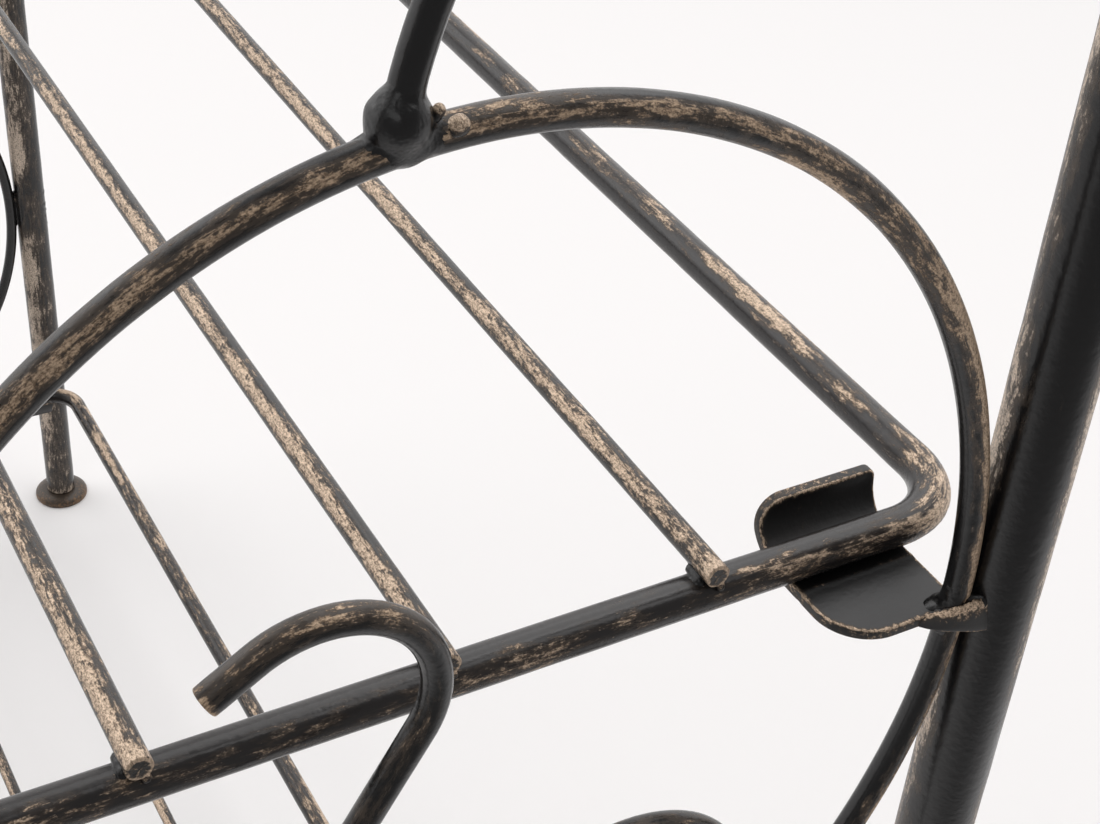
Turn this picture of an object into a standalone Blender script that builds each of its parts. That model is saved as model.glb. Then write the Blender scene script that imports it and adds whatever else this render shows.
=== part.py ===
"""Three-tier metal shelving unit with oval and scroll side panels.

Two side panels carry three loose shelves.  A panel is one tube bent to a hoop, on two domed feet,
with three ovals of thin rod welded between its legs, a scroll in each oval, and a link with a ball
at each end between one oval and the next.  Each shelf is a bent bar frame with three rods on it,
and it rests in four sheet-metal hooks welded to the legs, so that it lifts straight up.

X runs along the shelves, Y from front to back, Z up.  The origin is on the floor, midway between
the panels and midway between the front and back legs.
"""

import math

import bmesh
import bpy
import numpy as np
from mathutils import Matrix, Vector

MM = 0.001

# Clearance that touching pieces keep, how far a cutter runs past what it cuts, and the distance
# within which the points of a cap and its tube are one point.
fit_gap = 0.3 * MM
overrun = 6 * MM
weld_distance = 0.01 * MM

# Side panels: a hoop of tube with domed feet.
post_diameter = 16 * MM
post_wall = 1.2 * MM
post_spacing = 232 * MM
arch_above_oval = 6.9 * MM
foot_diameter = 30 * MM
foot_rim_height = 1.6 * MM
foot_height = 5 * MM
foot_spigot_length = 14 * MM

# Ovals, scrolls and links, all of the same thin rod.
ornament_rod_diameter = 5.4 * MM
oval_height = 241 * MM
oval_pitch = 319 * MM
oval_above_shelf = 0.6 * MM
crook_radius = 19.7 * MM
crook_centre = (24.6 * MM, 21.8 * MM)
crook_end_angle = math.radians(57)
crook_end_run = 9.5 * MM
bowl_centre = (-10 * MM, -62 * MM)
curl_radius = 27 * MM
curl_sweep = math.radians(205)
scroll_weld_sink = 0.8 * MM
link_offset = 13.7 * MM
link_ball_diameter = 9.2 * MM
link_ball_sink = 3.5 * MM

# Shelves: a bent bar frame with rods lying on its two end bars.
lowest_shelf_level = 88 * MM
shelf_pitch = 431 * MM
shelf_length = 682 * MM
shelf_front_overhang = 5.7 * MM
shelf_rear_inset = 2.6 * MM
frame_bar_diameter = 8 * MM
frame_bend_radius = 16 * MM
shelf_rod_diameter = 5 * MM
rod_place_shares = (0.2582, 0.4921, 0.7261)
rod_end_inset = 0.3 * MM
rod_saddle_depth = 0.45 * MM

# Hooks: a strip of sheet under the end bar that curls up behind it, welded to the leg.
hook_sheet = 2 * MM
hook_width = 27 * MM
hook_reach = 20 * MM
hook_bend_room = 0.2 * MM
hook_lip_radius = 9 * MM
hook_lip_start = 2.6 * MM
hook_lip_past_upright = math.radians(3)
hook_lip_far_corner = 6 * MM
hook_lip_near_corner = 2 * MM
hook_outer_corner = 11 * MM
hook_weld_reach = 9.6 * MM
hook_weld_width = 15 * MM
hook_weld_height = 6.4 * MM
hook_weld_drop = 1 * MM

# Rails across the back, screwed to the rear legs.
rail_diameter = 8 * MM
rail_tab_thickness = 2.5 * MM
rail_tab_width = 14 * MM
rail_tab_length = 22 * MM
screw_diameter = 5 * MM
screw_head_diameter = 9 * MM
screw_head_height = 2.8 * MM
screw_length = 10 * MM

# Facets around a section, and along a bend.
tube_sides = 12
bar_sides = 10
rod_sides = 8
bend_steps = 5
arch_steps = 14
oval_steps = 7
crook_arc_steps = 8
bowl_arc_steps = 9
curl_arc_steps = 6
link_steps = 6
search_steps = 720
turned_steps = 12
small_turned_steps = 10
corner_steps = 4
weld_rings = (8, 6)

# Places that follow from the sizes above.
post_radius = post_diameter / 2
bore_radius = post_radius - post_wall
ornament_radius = ornament_rod_diameter / 2
bar_radius = frame_bar_diameter / 2
shelf_rod_radius = shelf_rod_diameter / 2
shelf_end_x = shelf_length / 2
panel_x = shelf_end_x + hook_reach
post_y = post_spacing / 2
post_foot_z = foot_height + fit_gap
oval_half_width = post_y - post_radius - fit_gap - ornament_radius
oval_half_height = oval_height / 2
shelf_depth = post_spacing + shelf_front_overhang - shelf_rear_inset
shelf_front_y = -post_y - shelf_front_overhang
sides = {"left": -1, "right": 1}
tiers = ("bottom", "middle", "top")
shelf_levels = [lowest_shelf_level + number * shelf_pitch for number in range(len(tiers))]
rail_levels = [(low + high) / 2 for low, high in zip(shelf_levels, shelf_levels[1:])]
middle_oval_level = shelf_levels[1] + oval_above_shelf
oval_levels = [middle_oval_level + step * oval_pitch for step in (-1, 0, 1)]
arch_spring_height = oval_levels[-1] + oval_half_height + arch_above_oval
arch_top_z = arch_spring_height + post_y


def remove_all():
    """Empties the scene that the script is run in."""
    for thing in list(bpy.data.objects):
        bpy.data.objects.remove(thing, do_unlink=True)


def make_collection(name):
    group = bpy.data.collections.new(name)
    bpy.context.scene.collection.children.link(group)
    return group


def finish(name, colour, roughness, metallic):
    """A material for one piece."""
    material = bpy.data.materials.new(name + "_finish")
    material.use_nodes = True
    shader = material.node_tree.nodes["Principled BSDF"]
    shader.inputs["Base Color"].default_value = (*colour, 1)
    shader.inputs["Roughness"].default_value = roughness
    shader.inputs["Metallic"].default_value = metallic
    material.diffuse_color = (*colour, 1)
    return material


finishes = {
    "rubbed_black": ((0.030, 0.027, 0.026), 0.38, 0.35),
    "rubbed_bronze": ((0.115, 0.075, 0.048), 0.42, 0.55),
    "zinc": ((0.30, 0.29, 0.27), 0.35, 0.9),
}


def place(thing, finish_name):
    """Puts a finished piece in the shelving unit's collection, with a material of its own."""
    for group in list(thing.users_collection):
        group.objects.unlink(thing)
    unit.objects.link(thing)
    thing.data.materials.clear()
    thing.data.materials.append(finish(thing.name, *finishes[finish_name]))
    return thing


def as_cutter(thing):
    """Keeps a helper out of the finished model."""
    for group in list(thing.users_collection):
        group.objects.unlink(thing)
    cutters.objects.link(thing)
    thing.hide_render = True
    thing.display_type = "WIRE"
    return thing


def boolean(thing, other, operation):
    """Adds a live Boolean to a piece."""
    modifier = thing.modifiers.new(operation.lower() + "_" + other.name, "BOOLEAN")
    modifier.operation = operation
    modifier.solver = "EXACT"
    modifier.object = other


def face_outwards(work):
    """Turns every face of a closed bmesh outwards."""
    bmesh.ops.recalc_face_normals(work, faces=work.faces)
    if work.calc_volume(signed=True) < 0:
        bmesh.ops.reverse_faces(work, faces=work.faces)


def shade_round(mesh):
    mesh.shade_smooth()
    mesh.set_sharp_from_angle(angle=math.radians(40))


def rod_curve(name, points, radius, section_sides, closed=False):
    """A round rod along a line of points, as a curve with filled ends."""
    curve = bpy.data.curves.new(name, "CURVE")
    curve.dimensions = "3D"
    curve.bevel_depth = radius
    curve.bevel_resolution = (section_sides - 4) // 2
    curve.use_fill_caps = True
    spline = curve.splines.new("POLY")
    spline.points.add(len(points) - 1)
    spline.points.foreach_set("co", np.column_stack([points, np.ones(len(points))]).ravel())
    spline.use_cyclic_u = closed
    spline.use_smooth = True
    thing = bpy.data.objects.new(name, curve)
    bpy.context.scene.collection.objects.link(thing)
    return thing


def curve_to_mesh(thing):
    """Turns a curve into a closed mesh, for a piece that is cut or joined."""
    bpy.context.view_layer.update()
    graph = bpy.context.evaluated_depsgraph_get()
    mesh = bpy.data.meshes.new_from_object(thing.evaluated_get(graph))
    name, place_in_world = thing.name, thing.matrix_world.copy()
    bpy.data.objects.remove(thing, do_unlink=True)
    work = bmesh.new()
    work.from_mesh(mesh)
    bmesh.ops.remove_doubles(work, verts=work.verts, dist=weld_distance)
    face_outwards(work)
    work.to_mesh(mesh)
    work.free()
    shade_round(mesh)
    solid = bpy.data.objects.new(name, mesh)
    solid.matrix_world = place_in_world
    bpy.context.scene.collection.objects.link(solid)
    return solid


def mesh_object(name, work):
    """Makes an object of a bmesh and frees it."""
    face_outwards(work)
    mesh = bpy.data.meshes.new(name)
    work.to_mesh(mesh)
    work.free()
    shade_round(mesh)
    thing = bpy.data.objects.new(name, mesh)
    bpy.context.scene.collection.objects.link(thing)
    return thing


def cylinder(name, radius, start, end, section_sides):
    """A cylinder between two points."""
    start, end = Vector(start), Vector(end)
    axis = end - start
    work = bmesh.new()
    bmesh.ops.create_cone(work, cap_ends=True, segments=section_sides, radius1=radius, radius2=radius,
                          depth=axis.length)
    turn = axis.to_track_quat("Z", "Y").to_matrix().to_4x4()
    work.transform(Matrix.Translation((start + end) / 2) @ turn)
    return mesh_object(name, work)


def flat_plate(name, outline, thickness, y):
    """An upright plate: a flat outline of (x, z) points, extruded both ways along Y."""
    curve = bpy.data.curves.new(name, "CURVE")
    curve.dimensions = "2D"
    curve.fill_mode = "BOTH"
    curve.extrude = thickness / 2
    spline = curve.splines.new("POLY")
    spline.points.add(len(outline) - 1)
    for point, (across, up) in zip(spline.points, outline):
        point.co = (across, up, 0, 1)
    spline.use_cyclic_u = True
    thing = bpy.data.objects.new(name, curve)
    thing.location = (0, y, 0)
    thing.rotation_euler = (math.pi / 2, 0, 0)
    bpy.context.scene.collection.objects.link(thing)
    return curve_to_mesh(thing)


def ellipsoid(name, radii, centre):
    """A sphere stretched to three radii."""
    across, down = weld_rings
    work = bmesh.new()
    bmesh.ops.create_uvsphere(work, u_segments=across, v_segments=down, radius=1)
    work.transform(Matrix.Translation(centre) @ Matrix.Diagonal((*radii, 1)))
    return mesh_object(name, work)


def turned(name, profile, steps):
    """A turned piece: a profile of (radius, height) points, from the top down, spun about Z."""
    work = bmesh.new()
    ring = [work.verts.new((radius, 0, height)) for radius, height in profile]
    for upper, lower in zip(ring, ring[1:]):
        work.edges.new((upper, lower))
    mesh = bpy.data.meshes.new(name)
    work.to_mesh(mesh)
    work.free()
    thing = bpy.data.objects.new(name, mesh)
    bpy.context.scene.collection.objects.link(thing)
    screw = thing.modifiers.new("turn", "SCREW")
    screw.axis = "Z"
    screw.steps = steps
    screw.render_steps = steps
    screw.use_merge_vertices = True
    screw.merge_threshold = weld_distance
    screw.use_smooth_shade = True
    return thing


def arc(centre, radius, start_angle, end_angle, steps):
    """Points along an arc in a plane, as rows of two coordinates."""
    angle = np.linspace(start_angle, end_angle, steps + 1)
    return np.column_stack([centre[0] + radius * np.cos(angle), centre[1] + radius * np.sin(angle)])


def in_panel(points, x):
    """Lifts rows of (y, z) into the upright plane of a panel."""
    return np.column_stack([np.full(len(points), x), points])


def hoop_path(foot_z):
    """The middle line of a hoop: up the front leg, over the arch and down the back leg."""
    over = arc((0, arch_spring_height), post_y, math.pi, 0, arch_steps)
    return np.vstack([[(-post_y, foot_z)], over, [(post_y, foot_z)]])


def oval_rod(name, x, level, radius):
    """An upright oval of round rod: four Bezier points whose handles make quarter ellipses."""
    curve = bpy.data.curves.new(name, "CURVE")
    curve.dimensions = "3D"
    curve.bevel_depth = radius
    curve.bevel_resolution = (rod_sides - 4) // 2
    curve.resolution_u = oval_steps
    spline = curve.splines.new("BEZIER")
    spline.bezier_points.add(3)
    spline.use_cyclic_u = True
    handle_share = 4 / 3 * (math.sqrt(2) - 1)
    for number, point in enumerate(spline.bezier_points):
        angle = number * math.pi / 2
        outward = Vector((0, math.cos(angle) * oval_half_width, math.sin(angle) * oval_half_height))
        along = Vector((0, -math.sin(angle) * oval_half_width, math.cos(angle) * oval_half_height))
        point.co = outward
        point.handle_left = outward - along * handle_share
        point.handle_right = outward + along * handle_share
    thing = bpy.data.objects.new(name, curve)
    thing.location = (x, 0, level)
    bpy.context.scene.collection.objects.link(thing)
    return thing


def oval_point(y):
    """Height of the oval's middle line above its centre, at a distance y from the middle."""
    return oval_half_height * math.sqrt(1 - (y / oval_half_width) ** 2)


def scroll_path():
    """The middle line of a scroll about its oval's centre, as rows of (y, z).

    A small crook at the top and a wide bowl below lie on two circles, joined by the straight line
    that touches both.  The crook's free end runs on straight, and the bowl ends in a tighter curl.
    The bowl's circle is as large as the oval leaves room for, and sinks into it a little at the weld.
    """
    crook, bowl = Vector(crook_centre), Vector(bowl_centre)
    room = fit_gap + 2 * ornament_radius - scroll_weld_sink
    angle = np.linspace(0, 2 * math.pi, search_steps)
    inside = np.column_stack([(oval_half_width - room) * np.cos(angle),
                              (oval_half_height - room) * np.sin(angle)])
    bowl_radius = float(np.hypot(*(inside - np.array(bowl)).T).min())
    between = bowl - crook
    slope = math.atan2(between.y, between.x) + math.asin((crook_radius + bowl_radius) / between.length)
    leave = slope - math.pi / 2
    top = arc(crook, crook_radius, crook_end_angle, leave + 2 * math.pi, crook_arc_steps)
    free_end = top[0] + crook_end_run * np.array([math.sin(crook_end_angle), -math.cos(crook_end_angle)])
    curl_from = -math.pi
    low = arc(bowl, bowl_radius, slope + math.pi / 2, curl_from, bowl_arc_steps)
    curl_centre = bowl + Vector((curl_radius - bowl_radius, 0))
    curl = arc(curl_centre, curl_radius, curl_from, curl_from - curl_sweep, curl_arc_steps)
    return np.vstack([free_end, top, low, curl[1:]])


def link_path(low, high):
    """The middle line of a link, from a point on one rod to a point on the next one up.

    It leans like a drawn-out S: halfway between a straight line and a cosine.
    """
    t = np.linspace(0, 1, link_steps + 1)
    lean = (1 - 2 * t + np.cos(math.pi * t)) / 2
    middle, half = (low[0] + high[0]) / 2, (low[0] - high[0]) / 2
    return np.column_stack([middle + half * lean, low[1] + (high[1] - low[1]) * t])


def make_panel(side, sign):
    """One side panel: hoop, feet, ovals, scrolls and links."""
    x = sign * panel_x
    hoop = curve_to_mesh(rod_curve(side + "_hoop", in_panel(hoop_path(post_foot_z), x), post_radius,
                                   tube_sides))
    bore = curve_to_mesh(rod_curve(side + "_hoop_bore", in_panel(hoop_path(-overrun), x), bore_radius,
                                   tube_sides))
    boolean(hoop, as_cutter(bore), "DIFFERENCE")
    for number, level in enumerate(rail_levels):
        hole = cylinder(f"{side}_hoop_hole_{number}", screw_diameter / 2 + fit_gap,
                        (x, post_y, level), (x, post_y + post_diameter, level), turned_steps)
        boolean(hoop, as_cutter(hole), "DIFFERENCE")
    place(hoop, "rubbed_black")

    around_hoop = curve_to_mesh(rod_curve(side + "_around_hoop", in_panel(hoop_path(-overrun), x),
                                          post_radius + fit_gap, tube_sides))
    as_cutter(around_hoop)
    for end, y in (("front", -post_y), ("rear", post_y)):
        make_foot(f"{side}_{end}_foot", x, y)

    around_ovals = []
    for tier, level in zip(tiers, oval_levels):
        place(oval_rod(f"{side}_{tier}_oval", x, level, ornament_radius), "rubbed_bronze")
        around = as_cutter(curve_to_mesh(oval_rod(f"{side}_{tier}_around_oval", x, level,
                                                  ornament_radius + fit_gap)))
        around_ovals.append(around)
        scroll = curve_to_mesh(rod_curve(f"{side}_{tier}_scroll", in_panel(scroll_path() + (0, level), x),
                                         ornament_radius, rod_sides))
        boolean(scroll, around, "DIFFERENCE")
        place(scroll, "rubbed_black")

    reach = ornament_radius + link_ball_diameter / 2 - link_ball_sink
    for number, tier in enumerate(tiers):
        low = (link_offset, oval_levels[number] + oval_point(link_offset) + reach)
        above = around_hoop
        if number + 1 < len(tiers):
            high = (-link_offset, oval_levels[number + 1] - oval_point(link_offset) - reach)
            above = around_ovals[number + 1]
        else:
            arch_drop = post_y - math.sqrt(post_y ** 2 - link_offset ** 2)
            high = (-link_offset, arch_top_z - arch_drop - reach + ornament_radius - post_radius)
        link = curve_to_mesh(rod_curve(f"{side}_{tier}_link", in_panel(link_path(low, high), x),
                                       ornament_radius, rod_sides))
        for end, point in (("low", low), ("high", high)):
            ball = ellipsoid(f"{link.name}_{end}_ball", (link_ball_diameter / 2,) * 3, (x, *point))
            boolean(link, as_cutter(ball), "UNION")
        boolean(link, around_ovals[number], "DIFFERENCE")
        boolean(link, above, "DIFFERENCE")
        place(link, "rubbed_black")
    return around_hoop, around_ovals


def make_foot(name, x, y):
    """A domed disc with a spigot that plugs the end of a leg."""
    spigot_radius = bore_radius - fit_gap
    foot_radius = foot_diameter / 2
    rise = foot_height - foot_rim_height
    run = foot_radius - post_radius
    dome_angle = np.linspace(math.pi / 2, 0, corner_steps)
    dome = [(post_radius + run * math.cos(a), foot_rim_height + rise * math.sin(a)) for a in dome_angle]
    profile = [(0, foot_height + foot_spigot_length), (spigot_radius, foot_height + foot_spigot_length),
               (spigot_radius, foot_height), *dome, (foot_radius, 0), (0, 0)]
    foot = turned(name, profile, turned_steps)
    foot.location = (x, y, 0)
    place(foot, "rubbed_bronze")


def rounded_loop(length, depth, radius):
    """A rectangle with rounded corners, as rows of (x, y) about its centre."""
    corners = []
    for quarter, (sx, sy) in enumerate(((1, 1), (-1, 1), (-1, -1), (1, -1))):
        centre = (sx * (length / 2 - radius), sy * (depth / 2 - radius))
        start = quarter * math.pi / 2
        corners.append(arc(centre, radius, start, start + math.pi / 2, bend_steps))
    return np.vstack(corners)


def make_shelf(tier, level):
    """One shelf: a bent bar frame with rods saddled on its end bars."""
    centre_y = shelf_front_y + shelf_depth / 2
    loop = rounded_loop(shelf_length, shelf_depth, frame_bend_radius)
    points = np.column_stack([loop[:, 0], loop[:, 1] + centre_y, np.full(len(loop), level)])
    place(rod_curve(f"{tier}_shelf_frame", points, bar_radius, bar_sides, closed=True), "rubbed_black")

    saddles = []
    for side, sign in sides.items():
        x = sign * shelf_end_x
        saddle = cylinder(f"{tier}_{side}_saddle", bar_radius + fit_gap, (x, shelf_front_y, level),
                          (x, shelf_front_y + shelf_depth, level), tube_sides)
        saddles.append(as_cutter(saddle))
    reach = shelf_end_x + bar_radius - rod_end_inset
    height = level + bar_radius + fit_gap + shelf_rod_radius - rod_saddle_depth
    for number, share in enumerate(rod_place_shares, 1):
        y = shelf_front_y + share * shelf_depth
        rod = cylinder(f"{tier}_shelf_rod_{number}", shelf_rod_radius, (-reach, y, height),
                       (reach, y, height), bar_sides)
        for saddle in saddles:
            boolean(rod, saddle, "DIFFERENCE")
        place(rod, "rubbed_bronze")


def hook_strip():
    """The inner face of a hook, as stations of (u, z, near v, far v).

    u runs from the panel to the lip, measured from the end bar's middle line, z from that line's
    level, and v from the leg's axis towards the middle of the panel.  The strip lies flat under the
    bar, then curls up behind it on an arc.  It starts where the shelf's rear bend has come clear of
    the lip.
    """
    bed = -(bar_radius + fit_gap)
    lip_height = hook_lip_radius + bed
    lip_u = hook_lip_start + math.sqrt(hook_lip_radius ** 2 - lip_height ** 2)
    bend_inside = frame_bend_radius - bar_radius - fit_gap
    bend_clear = frame_bend_radius - math.sqrt(bend_inside ** 2 - (frame_bend_radius - lip_u) ** 2)
    near = shelf_rear_inset + bend_clear + hook_bend_room
    far = near + hook_width
    stations = []
    for turn in np.linspace(0, math.pi / 2, corner_steps + 1):
        u = -hook_reach + hook_outer_corner * (1 - math.cos(turn))
        stations.append((u, bed, near, far - hook_outer_corner * (1 - math.sin(turn))))
    low = -math.pi / 2
    curl = hook_lip_past_upright - low
    lip_centre = (hook_lip_start, bed + hook_lip_radius)
    ease_share = 1 - hook_lip_far_corner / (hook_lip_radius * curl)
    plain = np.linspace(0, ease_share, corner_steps + 1)
    eased = ease_share + (1 - ease_share) * np.sin(np.linspace(0, math.pi / 2, corner_steps + 1))[1:]
    for share in [*plain, *eased]:
        angle = low + curl * share
        to_edge = hook_lip_radius * curl * (1 - share)
        stations.append((lip_centre[0] + hook_lip_radius * math.cos(angle),
                         lip_centre[1] + hook_lip_radius * math.sin(angle),
                         near + corner_cut(hook_lip_near_corner, to_edge),
                         far - corner_cut(hook_lip_far_corner, to_edge)))
    return stations


def corner_cut(radius, to_edge):
    """How far a rounded corner draws in the side, at a distance from the end edge."""
    if to_edge >= radius:
        return 0
    return radius - math.sqrt(radius ** 2 - (radius - to_edge) ** 2)


def make_hook(name, level, sign, end, around):
    """One hook: a bent strip of sheet with a weld that holds it to the leg and the oval."""
    def in_world(u, v, z):
        return sign * (shelf_end_x - u), end * (post_y - v), level + z

    work = bmesh.new()
    pairs = []
    for u, z, near, far in hook_strip():
        pairs.append([work.verts.new(in_world(u, v, z)) for v in (near, far)])
    for (near, far), (next_near, next_far) in zip(pairs, pairs[1:]):
        work.faces.new((near, next_near, next_far, far))
    if sign * end < 0:
        bmesh.ops.reverse_faces(work, faces=work.faces)
    mesh = bpy.data.meshes.new(name)
    work.to_mesh(mesh)
    work.free()
    shade_round(mesh)
    hook = bpy.data.objects.new(name, mesh)
    bpy.context.scene.collection.objects.link(hook)
    sheet = hook.modifiers.new("sheet", "SOLIDIFY")
    sheet.thickness = hook_sheet
    sheet.offset = -1
    sheet.use_even_offset = True

    weld_centre = in_world(-hook_reach, hook_weld_reach, -bar_radius - hook_weld_drop)
    weld = ellipsoid(name + "_weld", (hook_weld_width / 2, hook_weld_width / 2, hook_weld_height / 2),
                     weld_centre)
    boolean(hook, as_cutter(weld), "UNION")
    for cutter in around:
        boolean(hook, cutter, "DIFFERENCE")
    place(hook, "rubbed_black")


def make_hooks(side, sign, around_hoop, around_ovals):
    """The six hooks of one panel."""
    for tier, level in zip(tiers, shelf_levels):
        around = [around_hoop]
        for oval, oval_level in zip(around_ovals, oval_levels):
            if abs(level - oval_level) < hook_weld_width:
                around.append(oval)
        for end, direction in (("front", -1), ("rear", 1)):
            make_hook(f"{side}_{tier}_{end}_hook", level, sign, direction, around)


def make_rail(number, level):
    """A bar across the back with flattened ends, and the two screws that hold it."""
    tab_y = post_y + post_radius + fit_gap + rail_tab_thickness / 2
    bar_end = panel_x - rail_tab_length + rail_diameter / 2
    rail = cylinder(f"rear_rail_{number}", rail_diameter / 2, (-bar_end, tab_y, level),
                    (bar_end, tab_y, level), bar_sides)
    for side, sign in sides.items():
        x = sign * panel_x
        round_end = arc((0, 0), rail_tab_width / 2, -math.pi / 2, math.pi / 2, corner_steps * 2)
        square_end = [(-rail_tab_length, rail_tab_width / 2), (-rail_tab_length, -rail_tab_width / 2)]
        outline = np.vstack([round_end, square_end]) * (sign, 1) + (x, level)
        tab = flat_plate(f"{rail.name}_{side}_tab", outline, rail_tab_thickness, tab_y)
        boolean(rail, as_cutter(tab), "UNION")
        hole = cylinder(f"{rail.name}_{side}_hole", screw_diameter / 2 + fit_gap,
                        (x, tab_y - rail_tab_thickness, level), (x, tab_y + rail_tab_thickness, level),
                        turned_steps)
        boolean(rail, as_cutter(hole), "DIFFERENCE")
        make_screw(f"rear_rail_{number}_{side}_screw", x, tab_y + rail_tab_thickness / 2 + fit_gap, level)
    place(rail, "rubbed_black")


def make_screw(name, x, y, z):
    """A domed screw whose head lies on a rail's tab."""
    head_radius, shank_radius = screw_head_diameter / 2, screw_diameter / 2
    dome = [(head_radius * math.sin(a), screw_head_height * math.cos(a))
            for a in np.linspace(0, math.pi / 2, corner_steps)]
    profile = [*dome, (shank_radius, 0), (shank_radius, -screw_length), (0, -screw_length)]
    screw = turned(name, profile, small_turned_steps)
    screw.location = (x, y, z)
    screw.rotation_euler = (-math.pi / 2, 0, 0)
    place(screw, "zinc")


def main():
    for side, sign in sides.items():
        around_hoop, around_ovals = make_panel(side, sign)
        make_hooks(side, sign, around_hoop, around_ovals)
    for tier, level in zip(tiers, shelf_levels):
        make_shelf(tier, level)
    for number, level in enumerate(rail_levels, 1):
        make_rail(number, level)


remove_all()
unit = make_collection("shelving_unit")
cutters = make_collection("cutters")
main()
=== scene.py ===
# %% [markdown]
# # A metal shelving unit, painted black and rubbed with bronze
#
# Two side panels of bent tube carry three shelves of bar and rod. Thin rod ovals with scrolls in
# them fill the panels, and every shelf lies loose in four hooks of sheet metal.
#
# The solids of the unit are packed already. This lesson loads them as a frame, then builds each
# visible piece anew as a fine surface around the same middle lines, and gives it a finish made
# of nodes. Nothing is modelled by hand: a piece is a function of two parameters, worked out as
# whole numpy arrays.

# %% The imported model
import math
from collections import namedtuple
from functools import partial

import bmesh
import bpy
import numpy as np
from mathutils import Matrix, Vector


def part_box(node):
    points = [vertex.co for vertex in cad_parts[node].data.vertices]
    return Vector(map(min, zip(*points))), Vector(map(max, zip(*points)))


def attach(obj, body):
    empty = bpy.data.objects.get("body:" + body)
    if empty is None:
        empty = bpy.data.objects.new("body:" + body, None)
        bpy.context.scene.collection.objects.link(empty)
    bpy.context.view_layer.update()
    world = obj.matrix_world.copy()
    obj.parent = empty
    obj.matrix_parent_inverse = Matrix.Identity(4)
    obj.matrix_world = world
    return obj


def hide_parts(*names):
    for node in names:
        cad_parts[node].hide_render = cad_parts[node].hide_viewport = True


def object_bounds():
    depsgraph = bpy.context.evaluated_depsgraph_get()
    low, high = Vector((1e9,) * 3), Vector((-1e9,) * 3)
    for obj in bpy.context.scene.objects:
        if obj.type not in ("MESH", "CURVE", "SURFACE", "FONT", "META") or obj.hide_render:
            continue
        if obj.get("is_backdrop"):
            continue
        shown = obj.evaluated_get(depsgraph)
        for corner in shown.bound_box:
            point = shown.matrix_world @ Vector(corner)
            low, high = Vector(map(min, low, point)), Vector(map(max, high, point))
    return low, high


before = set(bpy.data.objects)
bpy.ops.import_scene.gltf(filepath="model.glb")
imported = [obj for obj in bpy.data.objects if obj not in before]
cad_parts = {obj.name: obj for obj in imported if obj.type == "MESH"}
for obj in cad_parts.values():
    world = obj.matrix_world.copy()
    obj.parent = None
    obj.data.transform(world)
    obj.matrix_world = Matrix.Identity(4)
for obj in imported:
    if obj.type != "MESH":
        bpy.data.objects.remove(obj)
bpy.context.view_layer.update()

# %% [markdown]
# ## The camera
#
# The picture is a close view of one corner, taken from outside the left panel and above the
# middle shelf. A camera is placed by a point and three directions at right angles: its right,
# its up, and the way back from the scene to the lens. Written down as numbers, they leave
# nothing to chance, and Blender takes them as the columns of one matrix.

# %% The camera
camera_place = (-0.55672693, 0.1083912, 0.76057803)
camera_right = (-0.48076458, -0.87442673, 0.06514069)
camera_up = (0.54997772, -0.24285217, 0.79909157)
camera_back = (-0.68292747, 0.42000085, 0.59766994)
camera_lens = 63.771

camera = bpy.data.objects.new("camera", bpy.data.cameras.new("camera"))
bpy.context.scene.collection.objects.link(camera)
turn = np.eye(4)
turn[:3] = np.column_stack([camera_right, camera_up, camera_back, camera_place])
camera.matrix_world = Matrix(turn.tolist())
camera.data.lens = camera_lens
camera.data.sensor_width = 36
camera.data.sensor_fit = "HORIZONTAL"
camera.data.clip_start = 0.01
bpy.context.scene.camera = camera
print("camera", round(camera.location.length, 3), "m from the unit's foot")

# %% [markdown]
# ## Sizes
#
# These are the unit's own sizes in metres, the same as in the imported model. The unit stands on
# the floor with its middle at the origin: X runs along the shelves, Y from front to back, Z up.

# %% Sizes
MM = 0.001
panel_x = 361 * MM
post_y = 116 * MM
post_radius = 8 * MM
post_foot = 5.3 * MM
arch_spring = 966 * MM
fit_gap = 0.3 * MM

rod_radius = 2.7 * MM
oval_half_width = 105 * MM
oval_half_height = 120.5 * MM
shelf_levels = {"bottom": 88 * MM, "middle": 519 * MM, "top": 950 * MM}
oval_levels = {"bottom": 200.6 * MM, "middle": 519.6 * MM, "top": 838.6 * MM}
sides = {"left": -1, "right": 1}
ends = {"front": -1, "rear": 1}

shelf_end_x = 341 * MM
shelf_front_y = -121.7 * MM
shelf_depth = 235.1 * MM
shelf_middle_y = shelf_front_y + shelf_depth / 2
bar_radius = 4 * MM
bend_radius = 16 * MM
shelf_rod_radius = 2.5 * MM
shelf_rod_places = (-61.0 * MM, -6.0 * MM, 49.0 * MM)
shelf_rod_lift = 6.35 * MM
for node, radius in (("left_hoop", post_radius), ("middle_shelf_rod_1", shelf_rod_radius)):
    low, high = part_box(node)
    print(node, "packed height", round(high.z - low.z, 4), "radius here", round(radius, 4))

# %% [markdown]
# ## Nodes from code
#
# A material is a small graph of nodes. These helpers write one node each, so that a formula in
# the lesson reads as a formula.

# %% Node helpers
def node(tree, kind, **settings):
    """A new node with its own settings, such as an operation or a data type."""
    made = tree.nodes.new("ShaderNode" + kind)
    for key, value in settings.items():
        setattr(made, key, value)
    return made


def feed(tree, socket, value):
    """Links an output socket to an input, or sets a plain number, vector or colour on it."""
    if isinstance(value, bpy.types.NodeSocket):
        tree.links.new(value, socket)
    else:
        socket.default_value = value


def calc(tree, operation, *values):
    """A Math node on one, two or three values."""
    made = node(tree, "Math", operation=operation)
    for socket, value in zip(made.inputs, values):
        feed(tree, socket, value)
    return made.outputs[0]


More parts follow.
